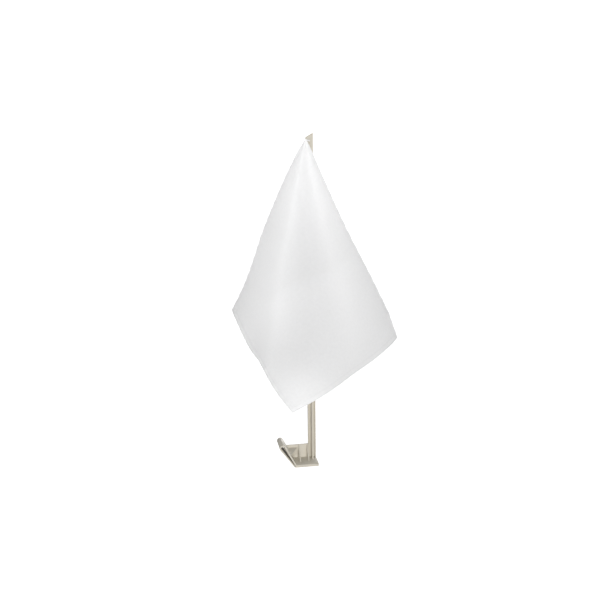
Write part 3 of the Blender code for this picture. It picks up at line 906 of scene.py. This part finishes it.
def bow(waves, place):
    return sum(wave * math.sin((i + 1) * math.pi * place) for i, wave in enumerate(waves))


def ease(value, low, high):
    part = min(1.0, max(0.0, (value - low) / (high - low)))
    return part * part * (3.0 - 2.0 * part)


class HangingCloth:
    """Where each point of the flat cloth hangs, left and right metres along its two hung sides."""

    def __init__(self, cloth):
        self.cloth = cloth
        self.fan = fan_directions()

    def fan_place(self, left, right):
        place = math.atan2(right, left) / (math.pi / 2) * FAN_STEPS
        index = min(int(place), FAN_STEPS - 1)
        direction = self.fan[index].lerp(self.fan[index + 1], place - index).normalized()
        return HUNG_CORNER + direction * math.hypot(left, right)

    def sagged(self, left, right):
        s = left / self.cloth.left
        t = right / self.cloth.right
        weights = ((1 - s) * (1 - t), s * (1 - t), s * t, (1 - s) * t)
        sags = (HUNG_SAG, LEFT_SAG, LOW_SAG, RIGHT_SAG)
        side = sum(weight * sag[0] for weight, sag in zip(weights, sags))
        rise = sum(weight * sag[1] for weight, sag in zip(weights, sags))
        side += bow(LEFT_BOW, s) * (1 - t) ** 2 + bow(RIGHT_BOW, t) * (1 - s) ** 2
        rise += bow(LOW_LEFT_BOW, t) * s ** 2 + bow(LOW_RIGHT_BOW, s) * t ** 2
        return self.fan_place(left, right) + side * SIDEWAYS + rise * UPWARDS

    def frame_at(self, left, right, reach=0.0008):
        """The sagged place, and the unit normal on the cloth's front."""
        low_left = max(0.0, left - reach)
        low_right = max(0.0, right - reach)
        along_left = self.sagged(left + reach, right) - self.sagged(low_left, right)
        along_right = self.sagged(left, right + reach) - self.sagged(left, low_right)
        normal = along_left.cross(along_right).normalized()
        return self.sagged(left, right), normal

    def border(self, left, right):
        return min(left, self.cloth.left - left, right, self.cloth.right - right)

    def lift(self, left, right):
        """How far the soft folds and the hem's puckers stand behind the sagged cloth."""
        from_corner = math.hypot(left, right)
        level = ((left / FOLD_LEFT) ** FOLD_POWER + (right / FOLD_RIGHT) ** FOLD_POWER) ** (1 / FOLD_POWER)
        down = (level - 1.0) * (FOLD_LEFT + FOLD_RIGHT) / 2
        soft = math.hypot(down, FOLD_SOFTNESS) - FOLD_SOFTNESS
        run = FOLD_ABOVE if down < 0 else FOLD_BELOW
        lift = FOLD_HEIGHT * math.exp(-soft / run) * ease(from_corner, 0.03, 0.14)
        lift *= ease(min(left, right), *FOLD_SIDES)
        past = (right - TURN_START - TURN_SLANT * left) * 0.96
        lift += TURN_HEIGHT * math.exp(-math.hypot(past, 0.0015) / TURN_RUN) * ease(0.15 - left, 0.0, 0.09)
        inward = self.border(left, right)
        near_side = math.exp(-inward / 0.010) * ease(from_corner, 0.02, 0.07)
        pucker = math.sin(left * 470.0 + 1.3 * math.sin(left * 61.0))
        pucker += math.sin(right * 430.0 + 1.1 * math.sin(right * 73.0))
        lift += PUCKER_HEIGHT * pucker * near_side
        lift += RIPPLE_HEIGHT * math.sin(left * 38.0 + right * 21.0 + 0.6) * ease(from_corner, 0.03, 0.12)
        return lift

    def walls(self, left, right):
        """Thickness in front of the middle surface and behind it."""
        cloth = self.cloth
        inward = self.border(left, right)
        folded = 1.0 - ease(inward, cloth.hem - 0.0003, cloth.hem + 0.0003)
        front = cloth.wall / 2 + folded * HEM_STEP
        back = cloth.wall / 2 + folded * (cloth.hem_wall - cloth.wall - HEM_STEP)
        seam = SEAM_DIP * math.exp(-((inward - cloth.hem + SEAM_INSET) / SEAM_SPREAD) ** 2)
        front -= seam
        back -= seam
        turn = min(1.0, inward / (cloth.hem_wall / 2))
        rounding = max(0.3, math.sqrt(1.0 - (1.0 - turn) ** 2))
        limit = 0.00006 + math.hypot(left, right) / 13.0
        return min(front * rounding, limit), min(back * rounding, limit)

    def surface(self, left, right, behind=False, proud=0.0):
        """A place on the cloth's front or back face, stood proud of it, and the outward normal."""
        place, normal = self.frame_at(left, right)
        front, back = self.walls(left, right)
        middle = place - normal * self.lift(left, right)
        if behind:
            return middle - normal * (back + proud), -normal
        return middle + normal * (front + proud), normal


def side_lines(total, cloth):
    """Places of the cloth's lines along one side, close together across each hem."""
    hem = cloth.hem
    edge = [0.0, 0.00012, 0.00030, 0.00060, 0.0016, 0.0032, hem - 0.0022, hem - 0.0018, hem - 0.0014,
            hem - 0.0010, hem - 0.0005, hem - 0.0002, hem + 0.0002, hem + 0.0006, hem + 0.0020]
    inner = total - 2 * edge[-1]
    count = round(inner / cloth.pitch)
    middle = [edge[-1] + inner * i / count for i in range(1, count)]
    return edge + middle + [total - place for place in reversed(edge)]


def closed_sheet(name, left_lines, right_lines, faces_at):
    """A closed sheet of two skins between flat lines, with its own flat map in metres."""
    shape = bmesh.new()
    flat = shape.loops.layers.uv.new("flat")
    skins = []
    for behind in (False, True):
        skins.append([[shape.verts.new(faces_at(left, right, behind)) for right in right_lines]
                      for left in left_lines])
    rows = len(left_lines)
    columns = len(right_lines)

    def add_face(corners):
        face = shape.faces.new([skins[k][i][j] for k, i, j in corners])
        face.smooth = True
        for loop, (k, i, j) in zip(face.loops, corners):
            loop[flat].uv = (left_lines[i], right_lines[j])

    for i in range(rows - 1):
        for j in range(columns - 1):
            add_face(((0, i, j), (0, i + 1, j), (0, i + 1, j + 1), (0, i, j + 1)))
            add_face(((1, i, j), (1, i, j + 1), (1, i + 1, j + 1), (1, i + 1, j)))
    for i in range(rows - 1):
        add_face(((0, i, 0), (1, i, 0), (1, i + 1, 0), (0, i + 1, 0)))
        last = columns - 1
        add_face(((0, i + 1, last), (1, i + 1, last), (1, i, last), (0, i, last)))
    for j in range(columns - 1):
        add_face(((0, 0, j + 1), (1, 0, j + 1), (1, 0, j), (0, 0, j)))
        last = rows - 1
        add_face(((0, last, j), (1, last, j), (1, last, j + 1), (0, last, j + 1)))
    mesh = bpy.data.meshes.new(name)
    shape.to_mesh(mesh)
    shape.free()
    sheet = bpy.data.objects.new(name, mesh)
    bpy.context.scene.collection.objects.link(sheet)
    return sheet


def build_flag(cloth, hanging):
    def faces_at(left, right, behind):
        return hanging.surface(left, right, behind)[0]

    return closed_sheet("flag", side_lines(cloth.left, cloth), side_lines(cloth.right, cloth), faces_at)


PATCH_START = 0.0012
PATCH_SIDE = 0.0350
PATCH_WALL = 0.00045
SEWN_AIR = 0.00008            # between the tab and the patch


def build_patch(cloth, hanging):
    """Square of cloth over the hems behind the hung corner, its own edges turned in."""
    count = 26
    lines = [PATCH_START + (PATCH_SIDE - PATCH_START) * i / count for i in range(count + 1)]
    lines = [lines[0], lines[0] + 0.0002, *lines[1:-1], lines[-1] - 0.0002, lines[-1]]

    def faces_at(left, right, outside):
        inward = min(left - PATCH_START, PATCH_SIDE - left, right - PATCH_START, PATCH_SIDE - right)
        turn = max(0.25, min(1.0, inward / 0.0002))
        turned_in = 1.6 - 0.6 * ease(inward, 0.0030, 0.0034)
        proud = 0.00003 + (PATCH_WALL * turned_in * turn if outside else 0.0)
        proud = min(proud, 0.00003 + math.hypot(left, right) / 20.0)
        return hanging.surface(left, right, True, proud)[0]

    return closed_sheet("corner_reinforcement", lines, lines, faces_at)


def one_stitch(cloth):
    """A single stitch along X, its ends dipping into the cloth."""
    deselect_all()
    half = cloth.stitch * 0.43
    radius = cloth.thread / 2
    bpy.ops.mesh.primitive_circle_add(vertices=6, radius=radius * 0.7, fill_type="NGON",
                                      rotation=(0.0, math.pi / 2, 0.0))
    stitch = settle(name_active("stitch"))
    bpy.ops.object.mode_set(mode="EDIT")
    bpy.ops.mesh.select_all(action="SELECT")
    bpy.ops.transform.translate(value=(-half, 0.0, -radius))
    for along, rise, ratio in ((0.35, radius * 1.0, 1.35), (1.3, 0.0, 1.0), (0.35, -radius * 1.0, 0.74)):
        bpy.ops.mesh.extrude_region_move(TRANSFORM_OT_translate={"value": (half * along, 0.0, rise)})
        shape = bmesh.from_edit_mesh(stitch.data)
        middle = sum((v.co for v in shape.verts if v.select), Vector()) / 6
        bpy.ops.transform.resize(value=(1.0, ratio, ratio), center_override=middle)
    bpy.ops.object.mode_set(mode="OBJECT")
    weld(stitch)
    return stitch


def stitch_line(start, end, spacing):
    """Middle places and heading of stitches along a straight line of the flat cloth."""
    way = Vector(end) - Vector(start)
    count = max(1, round(way.length / spacing))
    return [(Vector(start) + way * (i + 0.5) / count, way / count) for i in range(count)]


def sew(name, stitch, places, hanging, behind, proud):
    """Copies of the stitch laid on the cloth, each with its own part of the mesh."""
    source = stitch.data
    shape = bmesh.new()
    flat = shape.loops.layers.uv.new("flat")
    for place, way in places:
        left, right = place
        middle, normal = hanging.surface(left, right, behind, proud)
        ahead = hanging.surface(left + way.x * 0.3, right + way.y * 0.3, behind, proud)[0]
        along = ahead - middle
        along = (along - normal * along.dot(normal)).normalized()
        across = normal.cross(along)
        turn = Matrix((along, across, normal)).transposed()
        verts = [shape.verts.new(middle + turn @ vert.co) for vert in source.vertices]
        for polygon in source.polygons:
            face = shape.faces.new([verts[i] for i in polygon.vertices])
            face.smooth = True
            for loop, i in zip(face.loops, polygon.vertices):
                local = source.vertices[i].co
                loop[flat].uv = (math.atan2(local.y, local.z) / (2 * math.pi), local.x * 1000.0)
    mesh = bpy.data.meshes.new(name)
    shape.to_mesh(mesh)
    shape.free()
    seam = bpy.data.objects.new(name, mesh)
    bpy.context.scene.collection.objects.link(seam)
    return seam


def hem_path(cloth):
    """Stitches round the four hems."""
    inset = cloth.hem - SEAM_INSET
    corners = [(inset, inset), (cloth.left - inset, inset), (cloth.left - inset, cloth.right - inset),
               (inset, cloth.right - inset)]
    places = []
    for start, end in zip(corners, corners[1:] + corners[:1]):
        places += stitch_line(start, end, cloth.stitch)
    return [spot for spot in places if spot[0].length > 0.012]


def patch_path(cloth):
    """Stitches round the corner patch and across it, corner to corner."""
    low = PATCH_START + 0.0020
    high = PATCH_SIDE - 0.0020
    corners = [(low, low), (high, low), (high, high), (low, high)]
    places = []
    for start, end in zip(corners, corners[1:] + corners[:1]):
        places += stitch_line(start, end, cloth.stitch * 0.8)
    places += stitch_line((high, low), (low, high), cloth.stitch * 0.8)
    return [spot for spot in places if spot[0].length > 0.010]


def build_loop(staff, hanging):
    """Webbing tab over the peg, its lower end sewn behind the patch at the fold."""
    wall = 0.0010
    half = wall / 2
    width = 0.0056
    drop = 0.0180
    tab_top = 0.0034
    peg_y = loop_high.y - half
    index, rearmost = max(enumerate(hanging.fan), key=lambda item: -item[1].y / item[1].z)
    turned = math.pi / 2 * index / FAN_STEPS
    fold = HUNG_CORNER + rearmost * ((HUNG_CORNER.z - PEG_Z + drop) / -rearmost.z)
    lean = math.atan2(PEG_X - fold.x, PEG_Z - fold.z)

    def sewn_y(z):
        """Y of the tab's middle where it lies on the patch, at z from the peg's axis."""
        reach = (HUNG_CORNER.z - PEG_Z - z) / -rearmost.z
        on_patch = hanging.surface(reach * math.cos(turned), reach * math.sin(turned), True,
                                   PATCH_WALL + SEWN_AIR)[0]
        return on_patch.y + half

    # The tab's middle line in the plane across the staff, from its rounded end down.
    bend_start = 0.0010 - staff.peg_head - 2 * FIT
    bend_end = bend_start - 0.0042
    line = [(peg_y, tab_top), (peg_y, 0.0)]
    bend_steps = 10
    for i in range(bend_steps + 1):
        part = i / bend_steps
        line.append((peg_y + (sewn_y(bend_end) - peg_y) * ease(part, 0.0, 1.0),
                     bend_start + (bend_end - bend_start) * part))
    sewn_steps = 8
    for i in range(1, sewn_steps + 1):
        z = bend_end - (drop + bend_end) * i / sewn_steps
        line.append((sewn_y(z), z))
    shape = bmesh.new()
    flat = shape.loops.layers.uv.new("flat")
    across_count = 8
    run = 0.0
    rows = []
    for index, (y, z) in enumerate(line):
        before = Vector(line[max(0, index - 1)])
        after = Vector(line[min(len(line) - 1, index + 1)])
        way = (after - before).normalized()
        out = Vector((-way.y, way.x))
        if index:
            run += (Vector(line[index]) - Vector(line[index - 1])).length
        narrow = 0.80 if index == 0 else 1.0
        row = []
        for k in range(across_count + 1):
            x = (k / across_count - 0.5) * width * narrow
            thick = half * (1.12 if k in (0, 1, across_count - 1, across_count) else 0.94)
            thick *= 0.55 if k in (0, across_count) else 1.0
            row.append((x, y, z, out, thick, run))
        rows.append(row)
    skins = [[[shape.verts.new((x, y + sign * out.x * thick, z + sign * out.y * thick))
               for x, y, z, out, thick, _ in row] for row in rows] for sign in (1.0, -1.0)]

    def add_face(corners):
        face = shape.faces.new([skins[k][i][j] for k, i, j in corners])
        for loop, (k, i, j) in zip(face.loops, corners):
            loop[flat].uv = (rows[i][j][0], rows[i][j][5])

    last_row = len(rows) - 1
    for i in range(last_row):
        for j in range(across_count):
            add_face(((0, i, j), (0, i + 1, j), (0, i + 1, j + 1), (0, i, j + 1)))
            add_face(((1, i, j), (1, i, j + 1), (1, i + 1, j + 1), (1, i + 1, j)))
        add_face(((0, i, 0), (1, i, 0), (1, i + 1, 0), (0, i + 1, 0)))
        add_face(((0, i, across_count), (0, i + 1, across_count), (1, i + 1, across_count),
                  (1, i, across_count)))
    for i in (0, last_row):
        for j in range(across_count):
            add_face(((0, i, j), (0, i, j + 1), (1, i, j + 1), (1, i, j)))
    bmesh.ops.recalc_face_normals(shape, faces=shape.faces)
    shape.transform(Matrix.Translation((PEG_X, 0.0, PEG_Z)) @ Matrix.Rotation(lean, 4, "Y"))
    mesh = bpy.data.meshes.new("webbing_loop")
    shape.to_mesh(mesh)
    shape.free()
    loop = bpy.data.objects.new("webbing_loop", mesh)
    bpy.context.scene.collection.objects.link(loop)
    hole = add_turned("loop_hole", [(staff.peg_radius + FIT, peg_y - 0.002),
                                    (staff.peg_radius + FIT, peg_y + 0.002)], PEG_X, PEG_Z, 32)
    combine(loop, hole, "DIFFERENCE")
    smooth_faces(loop, 35.0)
    return loop


# ================================================================ stage
CAMERA_AZIMUTH = math.radians(-9.096)
CAMERA_ELEVATION = math.radians(17.0)
CAMERA_ROLL = math.radians(-0.684)
CAMERA_DISTANCE = 1.4873
CAMERA_TARGET = Vector((0.02936, 0.0135, 0.19239))
CAMERA_LENS = 69.04
CAMERA_SENSOR = 36.0

# The floor is a wide shallow bowl, so its pale surface also closes the view behind.
FLOOR_RADIUS = 14.0
FLOOR_SLOPE_RUN = 5.0
FLOOR_SLOPE_RISE = 10.0


def aim(place, target, roll=0.0):
    """Turn that points an object's -Z from place to target with its Y up."""
    forward = (target - place).normalized()
    right = forward.cross(Vector((0.0, 0.0, 1.0))).normalized()
    up = right.cross(forward)
    rolled_right = math.cos(roll) * right + math.sin(roll) * up
    rolled_up = math.cos(roll) * up - math.sin(roll) * right
    return Matrix((rolled_right, rolled_up, -forward)).transposed().to_4x4()


def around_object(azimuth, elevation, distance):
    flat = math.cos(elevation) * distance
    return CAMERA_TARGET + Vector((math.sin(azimuth) * flat, -math.cos(azimuth) * flat,
                                   math.sin(elevation) * distance))


MOULDED_PIECES = ("clip_foot", "clip_arch", "spring_clip_leg", "ridged_grip_pad", "staff_moulding",
                  "mushroom_peg")
SEWN_PIECES = ("flag", "corner_reinforcement", "webbing_loop", "hem_seam_front", "hem_seam_back",
               "patch_seam_front", "patch_seam_back")


def add_light(name, azimuth, elevation, distance, size, radiance, lit=()):
    """Soft light, its strength given as its own brightness, kept off all but the lit pieces."""
    light = bpy.data.lights.new(name, "AREA")
    light.shape = "RECTANGLE"
    light.size, light.size_y = size
    light.energy = radiance * size[0] * size[1] * math.pi
    lamp = bpy.data.objects.new(name, light)
    place = around_object(math.radians(azimuth), math.radians(elevation), distance)
    lamp.matrix_world = Matrix.Translation(place) @ aim(place, CAMERA_TARGET)
    bpy.context.scene.collection.objects.link(lamp)
    if lit:
        receivers = bpy.data.collections.new(name + "_falls_on")
        for piece in lit:
            receivers.objects.link(piece)
        lamp.light_linking.receiver_collection = receivers


def build_stage(finish):
    scene = bpy.context.scene
    camera_data = bpy.data.cameras.new("camera")
    camera_data.sensor_width = CAMERA_SENSOR
    camera_data.lens = CAMERA_LENS
    camera_data.clip_start = 0.01
    camera = bpy.data.objects.new("camera", camera_data)
    place = around_object(CAMERA_AZIMUTH, CAMERA_ELEVATION, CAMERA_DISTANCE)
    camera.matrix_world = Matrix.Translation(place) @ aim(place, CAMERA_TARGET, CAMERA_ROLL)
    scene.collection.objects.link(camera)
    scene.camera = camera

    deselect_all()
    bpy.ops.mesh.primitive_circle_add(vertices=96, radius=FLOOR_RADIUS, fill_type="NGON",
                                      location=(0.0, 0.0, UNDERSIDE - 0.0001))
    floor = settle(name_active("studio_floor"))
    bpy.ops.object.mode_set(mode="EDIT")
    bpy.ops.mesh.select_all(action="SELECT")
    bpy.ops.mesh.inset(thickness=FLOOR_SLOPE_RUN)
    select_parts(floor, "VERT", lambda co: co.xy.length > FLOOR_RADIUS - 1.0)
    move_selected((0.0, 0.0, FLOOR_SLOPE_RISE))
    bpy.ops.object.mode_set(mode="OBJECT")
    floor.data.materials.append(studio_floor("pale_floor", finish.floor))
    floor.visible_diffuse = False

    world = bpy.data.worlds.new("room")
    world.use_nodes = True
    background = world.node_tree.nodes["Background"]
    background.inputs["Color"].default_value = (1.0, 1.0, 1.0, 1.0)
    background.inputs["Strength"].default_value = finish.sky_power
    scene.world = world
    moulded = [obj for obj in scene.objects if obj.type == "MESH" and obj.name in MOULDED_PIECES]
    sewn = [obj for obj in scene.objects if obj.type == "MESH" and obj.name in SEWN_PIECES]
    key = finish.key_power
    add_light("moulding_light", -1.0, 4.0, 3.2, (1.1, 1.1), 17.3 * key, moulded)
    add_light("left_cloth_light", -39.0, 29.0, 2.2, (1.2, 1.2), 6.05 * key, sewn)
    add_light("right_cloth_light", 31.0, 29.0, 2.2, (1.2, 1.2), 5.85 * key, sewn)
    add_light("back_light", 155.0, 4.0, 3.2, (1.5, 1.5), 6.5 * key)
    scene.view_settings.view_transform = "Standard"
    scene.view_settings.look = "None"


# ================================================================ operators
def moulding_finish(scene, name):
    """The beige plastic, made once for each piece that needs its own."""
    known = bpy.data.materials.get(name)
    return known or moulded_plastic(name, tuple(scene.flag_finish.moulding))


class FLAG_OT_clip_foot(bpy.types.Operator):
    """Make the base plate with its leaning leg, upright wall, ribs and gusset"""

    bl_idname = "window_flag.clip_foot"
    bl_label = "Clip foot"

    def execute(self, context):
        foot = build_clip_foot(context.scene.flag_clip)
        finish_piece(foot, moulding_finish(context.scene, "beige_moulding"),
                     "staff_and_clip", ["clip_body"])
        return {"FINISHED"}


class FLAG_OT_clip_arch(bpy.types.Operator):
    """Make the bend over the pane, between the outer leg and the spring leg"""

    bl_idname = "window_flag.clip_arch"
    bl_label = "Clip arch"

    def execute(self, context):
        clip = context.scene.flag_clip
        arch = build_clip_arch(clip)
        finish_piece(arch, moulding_finish(context.scene, "beige_moulding"), None,
                     ["clip_body", "spring_leg"])
        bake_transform(arch)
        return {"FINISHED"}


class FLAG_OT_spring_leg(bpy.types.Operator):
    """Make the spring leg that grips the pane"""

    bl_idname = "window_flag.spring_leg"
    bl_label = "Spring leg"

    def execute(self, context):
        leg = build_spring_leg(context.scene.flag_clip)
        finish_piece(leg, moulding_finish(context.scene, "beige_moulding"),
                     "spring_leg", ["spring_leg"])
        return {"FINISHED"}


class FLAG_OT_grip_pad(bpy.types.Operator):
    """Make the ridged rubber pad inside the clip's slot"""

    bl_idname = "window_flag.grip_pad"
    bl_label = "Grip pad"

    def execute(self, context):
        pad = build_grip_pad(context.scene.flag_clip)
        finish_piece(pad, pad_rubber("pad_rubber", tuple(context.scene.flag_finish.pad)),
                     "staff_and_clip", ["outer_grip_pad"])
        return {"FINISHED"}


class FLAG_OT_staff(bpy.types.Operator):
    """Make the staff: a flange with a deep centre rib and two edge lips"""

    bl_idname = "window_flag.staff"
    bl_label = "Staff"

    def execute(self, context):
        lines = ClipLines(context.scene.flag_clip)
        staff = build_staff(context.scene.flag_staff, lines.plate_top)
        finish_piece(staff, moulding_finish(context.scene, "beige_moulding"),
                     "staff_and_clip", ["staff"])
        return {"FINISHED"}


class FLAG_OT_peg(bpy.types.Operator):
    """Make the turned peg that holds the flag's loop"""

    bl_idname = "window_flag.peg"
    bl_label = "Flag peg"

    def execute(self, context):
        peg = build_peg(context.scene.flag_staff)
        base = tinted(tuple(context.scene.flag_finish.moulding), 0.96)
        finish_piece(peg, moulded_plastic("peg_moulding", base, 0.5), "staff_and_clip",
                     ["flag_peg"])
        return {"FINISHED"}


class FLAG_OT_flag(bpy.types.Operator):
    """Make the hanging flag with its hems, stitching, corner patch and webbing loop"""

    bl_idname = "window_flag.flag"
    bl_label = "Flag"

    def execute(self, context):
        cloth = context.scene.flag_cloth
        colours = context.scene.flag_finish
        hanging = HangingCloth(cloth)
        flag = build_flag(cloth, hanging)
        finish_piece(flag, woven_cloth("woven_polyester", tuple(colours.cloth), cloth), "flag",
                     ["flag_cloth"])
        patch = build_patch(cloth, hanging)
        finish_piece(patch, woven_cloth("patch_polyester", tuple(colours.cloth), cloth), "flag",
                     ["corner_patch"])
        loop = build_loop(context.scene.flag_staff, hanging)
        finish_piece(loop, ribbed_webbing("white_webbing", tuple(colours.cloth)), "flag",
                     ["hanging_loop"])
        thread = twisted_thread("sewing_thread", tuple(colours.thread))
        stitch = one_stitch(cloth)
        sunk = cloth.thread * 0.22
        seams = [sew("hem_seam_front", stitch, hem_path(cloth), hanging, False, sunk),
                 sew("hem_seam_back", stitch, hem_path(cloth), hanging, True, sunk),
                 sew("patch_seam_front", stitch, patch_path(cloth), hanging, False, sunk),
                 sew("patch_seam_back", stitch, patch_path(cloth), hanging, True, PATCH_WALL + sunk)]
        bpy.data.objects.remove(stitch, do_unlink=True)
        for seam in seams:
            finish_piece(seam, thread, "flag")
        return {"FINISHED"}


class FLAG_OT_stage(bpy.types.Operator):
    """Make the camera, the pale floor and the soft lights"""

    bl_idname = "window_flag.stage"
    bl_label = "Stage"

    def execute(self, context):
        build_stage(context.scene.flag_finish)
        return {"FINISHED"}


PIECE_OPERATORS = (FLAG_OT_clip_foot, FLAG_OT_clip_arch, FLAG_OT_spring_leg, FLAG_OT_grip_pad,
                   FLAG_OT_staff, FLAG_OT_peg, FLAG_OT_flag, FLAG_OT_stage)
SETTINGS = {"flag_clip": FLAG_PG_clip, "flag_staff": FLAG_PG_staff, "flag_cloth": FLAG_PG_cloth,
            "flag_finish": FLAG_PG_finish}


class FLAG_PT_window_flag(bpy.types.Panel):
    """Sizes, colours and operators of the window flag"""

    bl_idname = "FLAG_PT_window_flag"
    bl_label = "Window flag"
    bl_space_type = "VIEW_3D"
    bl_region_type = "UI"
    bl_category = "Window flag"

    def draw(self, context):
        for name, group in SETTINGS.items():
            box = self.layout.box()
            box.label(text=group.__doc__)
            for key in group.__annotations__:
                box.prop(getattr(context.scene, name), key)
        for operator in PIECE_OPERATORS:
            self.layout.operator(operator.bl_idname)


def register():
    for group in SETTINGS.values():
        bpy.utils.register_class(group)
    for name, group in SETTINGS.items():
        setattr(bpy.types.Scene, name, PointerProperty(type=group))
    for operator in PIECE_OPERATORS:
        bpy.utils.register_class(operator)
    bpy.utils.register_class(FLAG_PT_window_flag)


def unregister():
    bpy.utils.unregister_class(FLAG_PT_window_flag)
    for operator in reversed(PIECE_OPERATORS):
        bpy.utils.unregister_class(operator)
    for name in SETTINGS:
        delattr(bpy.types.Scene, name)
    for group in reversed(SETTINGS.values()):
        bpy.utils.unregister_class(group)


def main():
    register()
    bpy.ops.window_flag.clip_foot()
    bpy.ops.window_flag.clip_arch()
    bpy.ops.window_flag.spring_leg()
    bpy.ops.window_flag.grip_pad()
    bpy.ops.window_flag.staff()
    bpy.ops.window_flag.peg()
    bpy.ops.window_flag.flag()
    bpy.ops.window_flag.stage()


if __name__ == "__main__":
    main()
